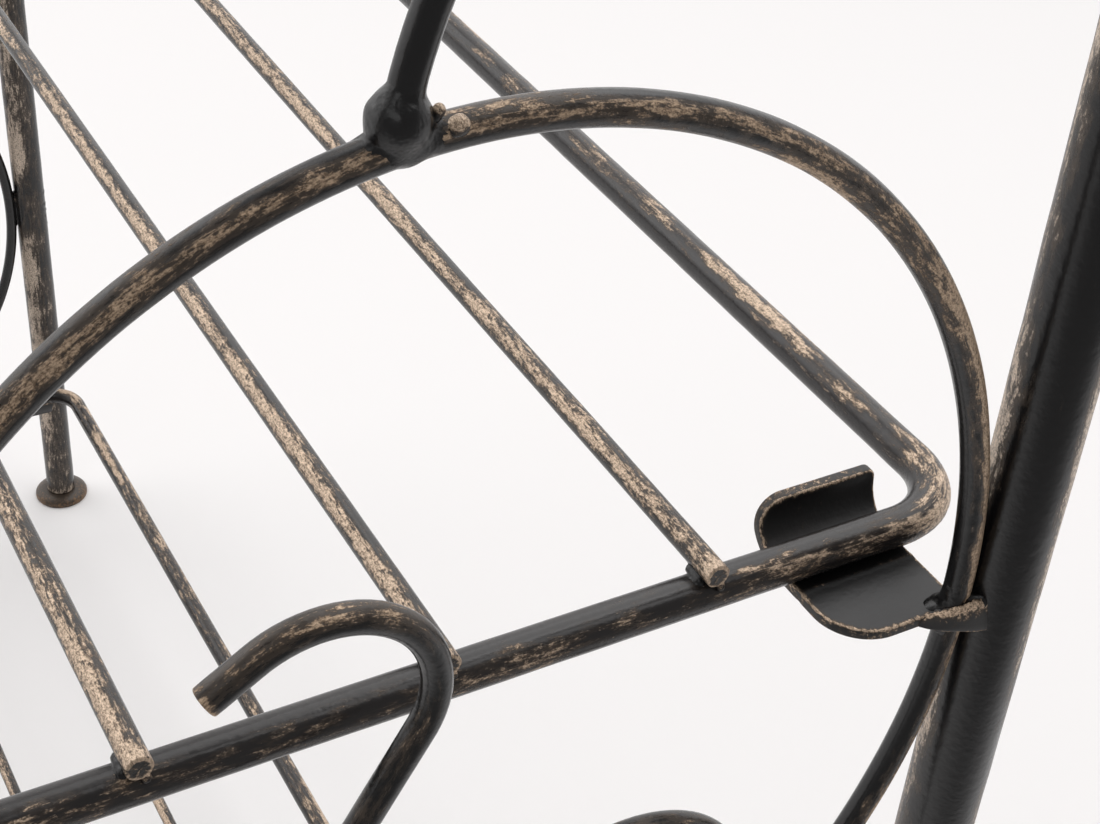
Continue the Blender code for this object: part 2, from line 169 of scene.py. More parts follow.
def noise(tree, vector, size, detail=3.0, roughness=0.55):
    """Noise whose patches are about `size` metres, centred on 0 and spread to about -1 to 1."""
    made = node(tree, "TexNoise")
    feed(tree, made.inputs["Vector"], vector)
    feed(tree, made.inputs["Scale"], calc(tree, "DIVIDE", 1.0, size))
    made.inputs["Detail"].default_value = detail
    made.inputs["Roughness"].default_value = roughness
    return calc(tree, "MULTIPLY", calc(tree, "SUBTRACT", made.outputs[0], 0.5), 4.0)


def step_between(tree, value, low, high):
    """A smooth step: 0 below low, 1 above high."""
    made = node(tree, "MapRange", interpolation_type="SMOOTHSTEP")
    for socket, given in zip(("Value", "From Min", "From Max"), (value, low, high)):
        feed(tree, made.inputs[socket], given)
    return made.outputs[0]


def blend(tree, share, first, second):
    """A mix of two colours."""
    made = node(tree, "Mix", data_type="RGBA")
    feed(tree, made.inputs["Factor"], share)
    feed(tree, made.inputs[6], first)
    feed(tree, made.inputs[7], second)
    return made.outputs[2]


def new_group(name, inputs, outputs):
    """A shader node group with named sockets, its input node and its output node."""
    tree = bpy.data.node_groups.new(name, "ShaderNodeTree")
    for label, kind, value in inputs:
        socket = tree.interface.new_socket(label, in_out="INPUT", socket_type="NodeSocket" + kind)
        if value is not None:
            socket.default_value = value
    for label, kind in outputs:
        tree.interface.new_socket(label, in_out="OUTPUT", socket_type="NodeSocket" + kind)
    return tree, tree.nodes.new("NodeGroupInput").outputs, tree.nodes.new("NodeGroupOutput").inputs


def stretched(tree, vector, by):
    """A straight place whose distance along the metal is divided, which draws patterns out."""
    apart = node(tree, "SeparateXYZ")
    feed(tree, apart.inputs[0], vector)
    together = node(tree, "CombineXYZ")
    feed(tree, together.inputs[0], calc(tree, "DIVIDE", apart.outputs[0], by))
    for k in (1, 2):
        feed(tree, together.inputs[k], apart.outputs[k])
    return together.outputs[0]


print("node helpers ready")

# %% [markdown]
# ## Floor, light and background
#
# The photograph was taken in a white studio: soft light from above and from behind, a pale
# floor, and no visible horizon. A wide plane makes the floor, the world gives a pale surround,
# and large lamps give soft shadows and a sheen. Together they stay at the level where a colour
# renders about as it is written.

# %% Floor
backdrop_tone = 0.92
backdrop_colour = (1.0, 0.985, 0.985, 1)
floor_colour = (0.91, 0.895, 0.89, 1)
bright_side, dark_side = 1.40, 0.26
front_share = 0.5
floor_half = 12.0
seen_range, mirrored_range, lit_range = (0.9, 3.0), (0.3, 0.9), (-1.0, -0.3)


def far_part(tree, direction):
    """How far a place or a direction lies on the lit side: its X, and a share of its distance to
    the front, so that the light reaches round the front of the unit too."""
    apart = node(tree, "SeparateXYZ")
    feed(tree, apart.inputs[0], direction)
    front = calc(tree, "MAXIMUM", calc(tree, "MULTIPLY", apart.outputs[1], -front_share), 0.0)
    return calc(tree, "ADD", apart.outputs[0], front)


def floor_material():
    """A pale floor that keeps shadows near the unit and turns into the backdrop's tone further off.

    A share from 0 to 1 mixes a Principled shader with a plain emission. It grows with distance
    for camera rays and for mirror rays, and is 0 for all others, so the emission lights nothing.
    Mirror rays find the floor darker behind the camera, on the side away from the lit wall.
    """
    material = bpy.data.materials.new("pale_floor")
    material.use_nodes = True
    tree = material.node_tree
    near = tree.nodes["Principled BSDF"]
    near.inputs["Base Color"].default_value = floor_colour
    near.inputs["Roughness"].default_value = 0.75
    far = node(tree, "Emission")
    far.inputs["Color"].default_value = backdrop_colour
    place = node(tree, "TexCoord").outputs["Object"]
    length = node(tree, "VectorMath", operation="LENGTH")
    feed(tree, length.inputs[0], place)
    distance = length.outputs["Value"]
    rays = node(tree, "LightPath").outputs
    seen = calc(tree, "MULTIPLY", rays["Is Camera Ray"], step_between(tree, distance, *seen_range))
    mirrored = calc(tree, "MULTIPLY", rays["Is Glossy Ray"], step_between(tree, distance, *mirrored_range))
    lit_side = step_between(tree, far_part(tree, place), *lit_range)
    lit = calc(tree, "MAXIMUM", rays["Is Camera Ray"], lit_side)
    strength = calc(tree, "MULTIPLY_ADD", lit, backdrop_tone - dark_side, dark_side)
    feed(tree, far.inputs["Strength"], strength)
    share = calc(tree, "MAXIMUM", seen, mirrored)
    mix = node(tree, "MixShader")
    for socket, value in zip(mix.inputs, (share, near.outputs[0], far.outputs[0])):
        feed(tree, socket, value)
    feed(tree, tree.nodes["Material Output"].inputs["Surface"], mix.outputs[0])
    return material


floor_mesh = bpy.data.meshes.new("floor")
floor_corners = np.array([(-1, -1, 0), (1, -1, 0), (1, 1, 0), (-1, 1, 0)]) * floor_half
floor_mesh.from_pydata(floor_corners.tolist(), [], [(0, 1, 2, 3)])
floor = bpy.data.objects.new("floor", floor_mesh)
bpy.context.scene.collection.objects.link(floor)
floor_mesh.materials.append(floor_material())
floor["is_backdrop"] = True
print("floor", 2 * floor_half, "m wide")

# %% World and lamps
# The room is bright on the far side of the unit, as in front of a lit wall, dim behind the camera,
# and a little dimmer overhead. That leaves the legs dark in the middle and pale at their edges.
# Camera rays see one pale tone everywhere.
side_range, top_dimming = (-0.35, 0.45), 0.3
world = bpy.data.worlds.new("studio")
world.use_nodes = True
sky_tree = world.node_tree
sky = sky_tree.nodes["Background"]
sky.inputs["Color"].default_value = backdrop_colour
direction = node(sky_tree, "TexCoord").outputs["Generated"]
upward = node(sky_tree, "SeparateXYZ")
feed(sky_tree, upward.inputs[0], direction)
far_side = step_between(sky_tree, far_part(sky_tree, direction), *side_range)
room = calc(sky_tree, "MULTIPLY_ADD", far_side, bright_side - dark_side, dark_side)
overhead = calc(sky_tree, "MULTIPLY_ADD", upward.outputs[2], -top_dimming, 1.0)
room = calc(sky_tree, "MULTIPLY", room, overhead)
shown = node(sky_tree, "Mix")
for socket, value in zip((shown.inputs[0], shown.inputs[2], shown.inputs[3]),
                         (node(sky_tree, "LightPath").outputs["Is Camera Ray"], room, backdrop_tone)):
    feed(sky_tree, socket, value)
feed(sky_tree, sky.inputs["Strength"], shown.outputs[0])
bpy.context.scene.world = world


def soft_lamp(name, place, target, size, power):
    """A square area lamp at a place, turned so that it faces a target."""
    lamp = bpy.data.objects.new(name, bpy.data.lights.new(name, "AREA"))
    lamp.data.size = size
    lamp.data.energy = power
    bpy.context.scene.collection.objects.link(lamp)
    back = np.subtract(place, target) / math.dist(place, target)
    right = np.cross((0, 0, 1), back)
    right /= np.linalg.norm(right)
    matrix = np.eye(4)
    matrix[:3] = np.column_stack([right, np.cross(back, right), back, place])
    lamp.matrix_world = Matrix(matrix.tolist())
    return lamp


lamp_target = (0, 0, 0.5)
lamps = [soft_lamp("lamp_over_far_side", (0.9, -1.2, 2.7), lamp_target, 2.2, 17),
         soft_lamp("lamp_over_back", (1.5, 0.9, 1.9), lamp_target, 1.7, 10),
         soft_lamp("lamp_overhead", (-0.75, -1.0, 2.6), (-0.34, -0.06, 0.52), 1.4, 9.5),
         soft_lamp("lamp_over_near_side", (-1.5, 1.4, 2.3), lamp_target, 1.2, 4)]
bpy.context.scene.view_settings.view_transform = "Standard"
print("lamps", [lamp.name for lamp in lamps])

# %% [markdown]
# ## Surfaces from arrays
#
# Every bar, rod and tube here is a round section carried along a line. Blender could do it with
# a bevelled curve, but a grid of points worked out in numpy gives two things that a curve does
# not: the radius may change from place to place, and each point can keep the place it would have
# on the straight rod before it was bent. The finish is drawn with those straight places, so that
# its streaks follow a bent rod all the way round.

# %% Skin of a grid
sharp_angle = math.radians(38)


def six_volumes(points, faces):
    """Six times the volume that the faces enclose: the sum of a . (b x c) over their triangles. It
    is positive where they face outwards."""
    a, b, c = (points[faces[:, k]] for k in (0, 1, 2))
    volume = np.einsum("ij,ij->", a, np.cross(b, c))
    if faces.shape[1] == 4:
        d = points[faces[:, 3]]
        volume += np.einsum("ij,ij->", a, np.cross(c, d))
    return volume


def mesh_object(name, points, faces, straight, rub):
    """Puts arrays into a mesh: points, a list of face arrays, and two attributes for the finish.

    `straight` holds, for each face array, the straight place of every corner. `rub` is one number
    for each point, from 0 where the paint is whole to 1 where it is rubbed most.
    """
    mesh = bpy.data.meshes.new(name)
    if sum(six_volumes(points, f) for f in faces) < 0:
        faces = [f[:, ::-1] for f in faces]
        straight = [s[:, ::-1] for s in straight]
    corners = np.concatenate([f.ravel() for f in faces])
    sizes = np.concatenate([np.full(len(f), f.shape[1]) for f in faces])
    mesh.vertices.add(len(points))
    mesh.vertices.foreach_set("co", points.astype(np.float32).ravel())
    mesh.loops.add(len(corners))
    mesh.loops.foreach_set("vertex_index", corners.astype(np.int32))
    mesh.polygons.add(len(sizes))
    mesh.polygons.foreach_set("loop_start", (np.cumsum(sizes) - sizes).astype(np.int32))
    mesh.update(calc_edges=True)
    places = np.concatenate([s.reshape(-1, 3) for s in straight]).astype(np.float32)
    mesh.attributes.new("straight", "FLOAT_VECTOR", "CORNER").data.foreach_set("vector", places.ravel())
    mesh.attributes.new("rub", "FLOAT", "POINT").data.foreach_set("value", rub.astype(np.float32).ravel())
    mesh.shade_smooth()
    mesh.set_sharp_from_angle(angle=sharp_angle)
    thing = bpy.data.objects.new(name, mesh)
    bpy.context.scene.collection.objects.link(thing)
    return thing


def skin(name, rings, straight, rub, closed=False, loop_length=0.0, fans=True):
    """Joins a grid of rings: point (i, j) to (i + 1, j), (i + 1, j + 1) and (i, j + 1).

    Columns close round the section. Rows close as well when `closed` is set, and the last row's
    straight place then goes on by the loop's length. Otherwise a fan of triangles from the middle
    of the last ring shuts each end, unless the last rings have shrunk to a point or a line.
    """
    n, m = rings.shape[:2]
    i, j = np.arange(n if closed else n - 1)[:, None], np.arange(m)[None]
    after_i, after_j = (i + 1) % n, (j + 1) % m
    quads = np.stack([i * m + j, after_i * m + j, after_i * m + after_j, i * m + after_j], -1).reshape(-1, 4)
    flat_straight = straight.reshape(-1, 3)
    quad_straight = flat_straight[quads]
    points, rub = rings.reshape(-1, 3), np.broadcast_to(rub, (n, m)).ravel()
    if closed:
        quad_straight[-m:, 1:3, 0] += loop_length
    if closed or not fans:
        return mesh_object(name, points, [quads], [quad_straight], rub)
    j = np.arange(m)
    after_j = (j + 1) % m
    first, last = np.full(m, n * m), np.full(m, n * m + 1)
    lids = np.concatenate([np.column_stack([j, after_j, first]),
                           np.column_stack([(n - 1) * m + after_j, (n - 1) * m + j, last])])
    points = np.vstack([points, rings[0].mean(0), rings[-1].mean(0)])
    flat_straight = np.vstack([flat_straight, straight[0].mean(0), straight[-1].mean(0)])
    rub = np.append(rub, [rub[:m].mean(), rub[-m:].mean()])
    return mesh_object(name, points, [quads, lids], [quad_straight, flat_straight[lids]], rub)


print("skin ready")

# %% [markdown]
# A rod is never perfectly even. Rolling, bending and paint leave soft swellings of a few
# hundredths of a millimetre, and a weld is far rougher. Both come from the same sum of sine
# waves that run in fixed, scattered directions.

# %% Unevenness and sections
wave_source = np.random.default_rng(11)
wave_directions = wave_source.normal(size=(10, 3))
wave_directions /= np.linalg.norm(wave_directions, axis=1)[:, None]
wave_directions *= wave_source.uniform(0.6, 1.7, size=(10, 1))
wave_phases = wave_source.uniform(0, 2 * math.pi, 10)


def lumps(places, size):
    """Soft unevenness from about -1 to 1: the sum of ten sine waves of lengths near `size`."""
    phase = places @ wave_directions.T * (2 * math.pi / size) + wave_phases
    return np.sin(phase).sum(-1) / 4


def hump(x, middle, width, power=2):
    """A smooth hump: 1 at the middle, and e to the -(distance / width) ** power around it."""
    return np.exp(-(np.abs(x - middle) / width) ** power)


def evenly(path, spacing, closed=False):
    """Points at even distances along a line of points, and their distances from its start."""
    if closed:
        path = np.vstack([path, path[:1]])
    steps = np.linalg.norm(np.diff(path, axis=0), axis=1)
    length = np.concatenate([[0], np.cumsum(steps)])
    count = max(2, int(round(length[-1] / spacing))) + 1
    along = np.linspace(0, length[-1], count)
    points = np.column_stack([np.interp(along, length, path[:, k]) for k in range(3)])
    return (points[:-1], along[:-1], length[-1]) if closed else (points, along, length[-1])


# What a cut end does at its first four points: how far they lie from the cut, how far the section
# is drawn in, and how much is rubbed. The first point lies in the cut face, which is smaller and
# darker than its rim.
rim_radius = 0.45 * MM
end_steps = np.array([0, 0.01, 0.12, 0.45]) * rim_radius
end_insets = np.array([1, 1, 0.42, 0.06]) * rim_radius
end_rubs = np.array([0.2, 0.9, 1.0, 0.8])
face_share, face_rub = 0.75, 0.34


def with_ends(points, along):
    """Adds four points at each end of a line: two at the cut, for its face and its rim, and two
    that round the rim off."""
    step = points[1] - points[0]
    start = points[0] + np.outer(end_steps, step / np.linalg.norm(step))
    step = points[-2] - points[-1]
    finish = points[-1] + np.outer(end_steps, step / np.linalg.norm(step))
    inner = (along > rim_radius) & (along < along[-1] - rim_radius)
    return (np.vstack([start, points[inner], finish[::-1]]),
            np.concatenate([end_steps, along[inner], (along[-1] - end_steps)[::-1]]))


# What a rub is worked out from: the points of every ring, its middle, its outward directions, its
# distance along the line, and the line's length.
Sections = namedtuple("Sections", "rings middle outward along length")
unevenness, uneven_size = 0.006, 14 * MM
rod_sides = 24


def rod(name, path, normal, radius, sides, spacing, rub, closed=False, swell=None):
    """A round section carried along a flat line whose plane has one normal.

    At each point the section's first axis is the normal crossed with the direction of travel, and
    its second is the normal: point = line + radius * (cos(a) * first + sin(a) * normal).
    The ends are cut square, with an edge rounded by a few tenths of a millimetre and rubbed.
    `rub` is a function of the sections, and `swell` of their middles and outward directions.
    """
    points, along, length = evenly(path, spacing, closed)
    if not closed:
        points, along = with_ends(points, along)
    forward = (np.roll(points, -1, 0) - np.roll(points, 1, 0)) if closed else np.gradient(points, axis=0)
    forward /= np.linalg.norm(forward, axis=1)[:, None]
    second = np.array(normal, float)
    first = np.cross(second, forward)
    angle = np.linspace(0, 2 * math.pi, sides, endpoint=False)
    outward = np.cos(angle)[None, :, None] * first[:, None] + np.sin(angle)[None, :, None] * second
    size = np.full((len(along), 1), radius)
    if not closed:
        size[:4, 0] -= end_insets
        size[0] *= face_share
        size[-4:] = size[:4][::-1]
    rings = points[:, None] + outward * size[..., None]
    grow = 1 + unevenness * lumps(rings, uneven_size)
    if swell:
        grow = grow + swell(rings.mean(1), outward)
    rings = points[:, None] + outward * (size * grow)[..., None]
    straight = np.stack([np.broadcast_to(along[:, None], rings.shape[:2]),
                         size * np.cos(angle), size * np.sin(angle)], -1)
    rubbed_here = rub(Sections(rings, rings.mean(1), outward, along, length)) + 0 * rings[..., 0]
    if not closed:
        rim = end_rubs[:, None] + 0.2 * lumps(rings[:4], 3 * MM)
        rubbed_here[:4] = np.maximum(rubbed_here[:4], rim)
        rubbed_here[-4:] = np.maximum(rubbed_here[-4:], rim[::-1])
        rubbed_here[0] = rubbed_here[-1] = face_rub + rim[0] / 4
    return skin(name, rings, straight, rubbed_here, closed, length)


def arc(centre, radius, start, end, count):
    """Points on an arc in a plane: centre + radius * (cos, sin) of angles from start to end."""
    angle = np.linspace(start, end, count)
    return np.column_stack([centre[0] + radius * np.cos(angle), centre[1] + radius * np.sin(angle)])


def in_panel(flat, x):
    """Lifts rows of (y, z) into the upright plane of a side panel at x."""
    return np.column_stack([np.full(len(flat), x), flat])


print("unevenness at the origin", round(float(lumps(np.zeros(3), 1.0)), 3))

# %% [markdown]
# ## The hand-rubbed finish
#
# The real unit is sprayed satin black, then rubbed by hand with a bronze paste. The paste
# catches on the upper and outer sides of the bars, on bends, edges and welds, in streaks that
# run along the metal. Close up it has three parts: a thin brown glaze, pale gold streaks in it,
# and small dark holes in the gold.
#
# One node group makes it for every piece. It adds up where the piece is rubbed, slow patches,
# long streaks and fine grain, and cuts that sum at two levels: one for the glaze and a higher
# one for the gold. The group gives colour, roughness, metal and height. The shader itself stays
# in each material.

# %% The rubbed finish as a node group
paint_black = (0.0062, 0.0058, 0.0060, 1)
glaze_brown = (0.068, 0.050, 0.036, 1)
gold_pale = (0.80, 0.62, 0.46, 1)
gold_deep = (0.17, 0.115, 0.074, 1)
streak_share, grain_share, fine_share = 0.34, 0.26, 0.13
gold_limit, glaze_span = 0.21, 0.40
peel_size = 1.8 * MM

rubbed, given, out = new_group(
    "hand_rubbed_bronze",
    [("Place", "Vector", None), ("Rub", "Float", 0.5), ("Glaze From", "Float", 0.25),
     ("Gold From", "Float", 0.58), ("Stretch", "Float", 4.0), ("Patch Size", "Float", 0.016),
     ("Streak Size", "Float", 0.0012), ("Grain Size", "Float", 0.0005), ("Patchiness", "Float", 0.16),
     ("Patch Stretch", "Float", 1.0), ("Paint", "Color", paint_black), ("Glaze", "Color", glaze_brown),
     ("Gold", "Color", gold_pale), ("Deep Gold", "Color", gold_deep), ("Paint Roughness", "Float", 0.23)],
    [("Color", "Color"), ("Roughness", "Float"), ("Metallic", "Float"), ("Height", "Float")])

long_place = stretched(rubbed, given["Place"], given["Stretch"])
line_place = stretched(rubbed, given["Place"], calc(rubbed, "MULTIPLY", given["Stretch"], 4.0))
short_place = stretched(rubbed, given["Place"], 1.6)
patches = noise(rubbed, stretched(rubbed, given["Place"], given["Patch Stretch"]), given["Patch Size"], 2.0)
streaks = noise(rubbed, long_place, given["Streak Size"], 3.0, 0.6)
lines = noise(rubbed, line_place, calc(rubbed, "MULTIPLY", given["Streak Size"], 1.6), 2.0)
grain = noise(rubbed, short_place, given["Grain Size"], 4.0, 0.72)
fine = noise(rubbed, short_place, calc(rubbed, "MULTIPLY", given["Grain Size"], 0.45), 2.0)

# How much paste a place has caught. It stays below a limit, so that the grain breaks up even
# the places that are rubbed most.
load = calc(rubbed, "MULTIPLY_ADD", patches, given["Patchiness"], given["Rub"])
load = calc(rubbed, "MULTIPLY_ADD", streaks, streak_share, load)
load = calc(rubbed, "MINIMUM", load, calc(rubbed, "ADD", given["Gold From"], gold_limit))
speckled = calc(rubbed, "MULTIPLY_ADD", grain, grain_share, load)
full_glaze = calc(rubbed, "ADD", given["Glaze From"], glaze_span)
glaze = step_between(rubbed, load, given["Glaze From"], full_glaze)
over = calc(rubbed, "SUBTRACT", speckled, given["Gold From"])

# Thin lines of paste: where the drawn-out noise is close to 0, inside the rubbed band only.
thin = calc(rubbed, "SUBTRACT", 1.0, step_between(rubbed, calc(rubbed, "ABSOLUTE", lines), 0.02, 0.10))
thin = calc(rubbed, "MULTIPLY", thin, step_between(rubbed, over, -0.16, 0.04))

# The paste is deep and brown where it is thin, at the rim of a patch, and pale where it is thick.
gold = calc(rubbed, "MAXIMUM", step_between(rubbed, over, -0.03, 0.13), calc(rubbed, "MULTIPLY", thin, 0.8))
thick = calc(rubbed, "MAXIMUM", over, calc(rubbed, "MULTIPLY", thin, 0.20))
tone = step_between(rubbed, calc(rubbed, "MULTIPLY_ADD", fine, fine_share, thick), 0.0, 0.40)
gold_colour = blend(rubbed, tone, given["Deep Gold"], given["Gold"])
under = blend(rubbed, calc(rubbed, "MULTIPLY", glaze, 0.75), given["Paint"], given["Glaze"])
feed(rubbed, out["Color"], blend(rubbed, gold, under, gold_colour))
rough = calc(rubbed, "MULTIPLY_ADD", patches, 0.03, given["Paint Roughness"])
rough = calc(rubbed, "MULTIPLY_ADD", gold, 0.10, calc(rubbed, "MULTIPLY_ADD", glaze, 0.08, rough))
feed(rubbed, out["Roughness"], calc(rubbed, "MULTIPLY_ADD", grain, 0.02, rough))
metallic = calc(rubbed, "MULTIPLY_ADD", gold, 0.22, calc(rubbed, "MULTIPLY", glaze, 0.15))
feed(rubbed, out["Metallic"], metallic)
peel = noise(rubbed, given["Place"], peel_size, 2.0)
relief = calc(rubbed, "MULTIPLY_ADD", peel, 0.16, calc(rubbed, "MULTIPLY", gold, 0.30))
rough_paste = calc(rubbed, "MULTIPLY_ADD", gold, 0.12, calc(rubbed, "MULTIPLY_ADD", glaze, 0.10, 0.03))
feed(rubbed, out["Height"], calc(rubbed, "MULTIPLY_ADD", grain, rough_paste, relief))
print("group", rubbed.name, "with", len(rubbed.nodes), "nodes")


# %% Materials from the group
paint_ior = 1.5


def rubbed_material(name, relief_depth=0.12 * MM, **values):
    """A material that feeds a piece's straight places and rub to the group, and its results to
    a Principled shader, with the height as bump."""
    material = bpy.data.materials.new(name)
    material.use_nodes = True
    tree = material.node_tree
    shader = tree.nodes["Principled BSDF"]
    finish = node(tree, "Group", node_tree=rubbed)
    place = node(tree, "Attribute", attribute_name="straight")
    rub = node(tree, "Attribute", attribute_name="rub")
    feed(tree, finish.inputs["Place"], place.outputs["Vector"])
    feed(tree, finish.inputs["Rub"], rub.outputs["Fac"])
    for label, value in values.items():
        finish.inputs[label.replace("_", " ").title()].default_value = value
    for label, socket in (("Color", "Base Color"), ("Roughness", "Roughness"), ("Metallic", "Metallic")):
        feed(tree, shader.inputs[socket], finish.outputs[label])
    bump = node(tree, "Bump")
    bump.inputs["Distance"].default_value = relief_depth
    feed(tree, bump.inputs["Height"], finish.outputs["Height"])
    feed(tree, shader.inputs["Normal"], bump.outputs["Normal"])
    shader.inputs["IOR"].default_value = paint_ior
    return material


finishes = {
    "tube": rubbed_material("satin_black_tube", patch_size=0.018, streak_size=0.0016, gold_from=0.70,
                            grain_size=0.0006, patchiness=0.20, Gold=(0.74, 0.61, 0.49, 1),
                            Deep_Gold=(0.19, 0.155, 0.125, 1)),
    "ornament": rubbed_material("glazed_black_rod", glaze_from=0.16, gold_from=0.60, patch_size=0.022,
                                Gold=(0.62, 0.46, 0.32, 1), Deep_Gold=(0.14, 0.092, 0.056, 1)),
    # The shelf's rods and bars, and the rails, get a lighter, warmer paint than the legs: partly painted
    # sheen, for the paler satin tone that their black shows in this light.
    "rod": rubbed_material("rubbed_black_rod", streak_size=0.0008, patchiness=0.12,
                           Paint=(0.014, 0.0125, 0.0115, 1)),
    "bar": rubbed_material("rubbed_black_bar", patchiness=0.22, patch_size=0.005, patch_stretch=3.0,
                           Paint=(0.02, 0.0175, 0.017, 1)),
    "sheet": rubbed_material("satin_black_sheet", stretch=1.5, paint_roughness=0.42),
    "weld": rubbed_material("rubbed_weld", stretch=1.0, streak_size=0.0016, relief_depth=0.3 * MM,
                            paint_roughness=0.24),
    # The weld wall's paint is greyer than the black elsewhere: partly painted sheen, for the satin grey of
    # that wall.
    "wall": rubbed_material("rough_weld_wall", stretch=1.5, paint_roughness=0.5,
                            Paint=(0.03, 0.029, 0.029, 1)),
    "foot": rubbed_material("bronze_foot", stretch=1.5, glaze_from=-0.1, gold_from=0.62,
                            Gold=(0.25, 0.15, 0.08, 1), Deep_Gold=(0.13, 0.08, 0.045, 1)),
    "screw": rubbed_material("blackened_screw", stretch=1.0, gold_from=0.8, Paint=(0.03, 0.028, 0.026, 1)),
}
print("finishes", sorted(finishes))


def dress(piece, finish, body, slot, *nodes):
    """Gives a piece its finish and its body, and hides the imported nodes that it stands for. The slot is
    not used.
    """
    piece.data.materials.append(finishes[finish])
    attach(piece, body)
    if nodes:
        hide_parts(*nodes)
    return piece


# %% [markdown]
# ## Where a hand rubs
#
# The paste goes on with a cloth drawn along the bar, so it lands on the side that faces the
# hand: mostly up, and a little outwards. For each point of a section the rub is the cosine
# between its direction and the hand's, cut off below a limit and made to come and go along the
# length.

# %% Rub fields
def toward(direction, reach=0.30, strength=0.62, fade=60 * MM, vary=0.3):
    """Rub on the side that faces `direction`: (cosine - reach) / (1 - reach) to the power 0.7,
    times a strength that slowly comes and goes by a share `vary`. `direction` may be one vector,
    one for each section, or a function of the sections' middles."""
    def field(at):
        hand = direction(at.middle) if callable(direction) else direction
        hand = np.broadcast_to(np.asarray(hand, float), at.middle.shape)
        hand = hand / np.linalg.norm(hand, axis=1)[:, None]
        cosine = np.einsum("ijk,ik->ij", at.outward, hand)
        facing = np.clip((cosine - reach) / (1 - reach), 0, 1)
        return strength * facing ** 0.7 * (1 + vary * lumps(at.middle, fade)[:, None])
    return field


print("rub fields ready")

# %% [markdown]
# ## Side panels: hoops and feet
#
# A hoop is one tube: up the front leg, over a half circle and down the back leg. The feet are
# turned discs with a domed top.

# %% Hoops
def hoop_line(x):
    """Up at y = -post_y, over a half circle about the spring height, and down at y = post_y."""
    over = arc((0, arch_spring), post_y, math.pi, 0, 121)
    return in_panel(np.vstack([[(-post_y, post_foot)], over, [(post_y, post_foot)]]), x)


parting_height, parting_reach, crevice_reach = 34 * MM, 12 * MM, 15 * MM


def hoop_rub_and_sheen(sign):
    """Three bands along a leg: a narrow one on its outer edge, a fainter one toward the panel's
    middle, and one toward the shelves. The largest counts. Beside an oval the second is
    stronger where the two part, and nearly gone in the crevice between them. The second band is
    partly painted sheen: besides its bronze flecks, its brown glaze stands in for the grey-brown
    sheen on that side of the leg."""
    def field(at):
        height, way = at.middle[:, 2], np.sign(at.middle[:, 1])
        over = height > arch_spring
        outer = np.column_stack([sign + 0 * way, 0.78 * way, 0.8 * over])
        inner = np.column_stack([-0.85 * sign + 0 * way, -way, -0.8 * over])
        from_oval = np.min([np.abs(height - level) for level in oval_levels.values()], axis=0)
        parting = 0.7 * hump(from_oval, parting_height, parting_reach)
        crevice = 0.8 * hump(from_oval, 0, crevice_reach)
        # The band toward the panel's middle: bronze flecks, and a brown glaze that is painted sheen.
        inward = toward(inner, 0.58, 0.74, 70 * MM, 0.2)(at) * (1 + parting - crevice)[:, None]
        return np.maximum.reduce([toward(outer, 0.78, 0.88, 55 * MM, 0.35)(at), inward,
                                  toward((-sign, 0, 0), 0.45, 0.50, 110 * MM)(at)])
    return field


for side, sign in sides.items():
    hoop = rod(f"{side}_panel_hoop", hoop_line(sign * panel_x), (1, 0, 0), post_radius, 32, 6 * MM,
               hoop_rub_and_sheen(sign))
    dress(hoop, "tube", "frame", "satin_black", f"{side}_hoop")
print("hoop", len(hoop.data.polygons), "faces")


# %% Feet
def turned(name, profile, centre, axis, sides, rub_by_ring):
    """A profile of (radius, height) pairs spun about an axis: point = centre + radius * (cos(a) *
    across + sin(a) * other) + height * axis, with three directions at right angles."""
    profile, axis = np.array(profile, float), np.array(axis, float)
    angle = np.linspace(0, 2 * math.pi, sides, endpoint=False)
    across = np.cross(axis, (1, 0, 0))
    other = np.cross(axis, across)
    ring = np.cos(angle)[:, None] * across + np.sin(angle)[:, None] * other
    rings = np.array(centre) + profile[:, 0, None, None] * ring + profile[:, 1, None, None] * axis
    travelled = np.concatenate([[0], np.cumsum(np.linalg.norm(np.diff(profile, axis=0), axis=1))])
    straight = np.stack([np.broadcast_to(travelled[:, None], rings.shape[:2]),
                         profile[:, :1] * np.cos(angle), profile[:, :1] * np.sin(angle)], -1)
    return skin(name, rings, straight, np.array(rub_by_ring, float)[:, None])


foot_radius = 15 * MM
foot_rim = 1.6 * MM
foot_height = 5 * MM
foot_edge = 0.5 * MM
dome = arc((0, 0), 1, math.pi / 2, 0, 14) * (foot_radius - post_radius, foot_height - foot_rim)
foot_profile = np.vstack([(post_radius * 0.5, foot_height), dome + (post_radius, foot_rim),
                          (foot_radius, foot_edge), (foot_radius - 0.3 * foot_edge, 0.3 * foot_edge),
                          (foot_radius - foot_edge, 0)])
foot_rub = np.linspace(0.35, 0.75, len(foot_profile))
for side, sign in sides.items():
    for end, way in ends.items():
        place = (sign * panel_x, way * post_y, 0)
        foot = turned(f"{side}_{end}_leg_foot", foot_profile, place, (0, 0, 1), 48, foot_rub)
        dress(foot, "foot", "frame", "rubbed_bronze", f"{side}_{end}_foot")
print("foot", len(foot.data.polygons), "faces")

# %% [markdown]
# ## Ovals, scrolls and links
#
# All three are the same thin rod. An oval is an ellipse between the legs. A scroll is made of
# arcs: a small crook at the top, a straight run that touches both circles, a wide bowl that
# rests on the oval, and a curl at the end. A link stands on the crown of one oval and carries
# the next, with a ball of weld at each end.

# %% Ovals
def oval_line(x, level):
    """An ellipse in the panel's plane, started at its foot."""
    angle = np.linspace(0, 2 * math.pi, 361)[:-1] - math.pi / 2
    flat = np.column_stack([oval_half_width * np.cos(angle), level + oval_half_height * np.sin(angle)])
    return in_panel(flat, x)


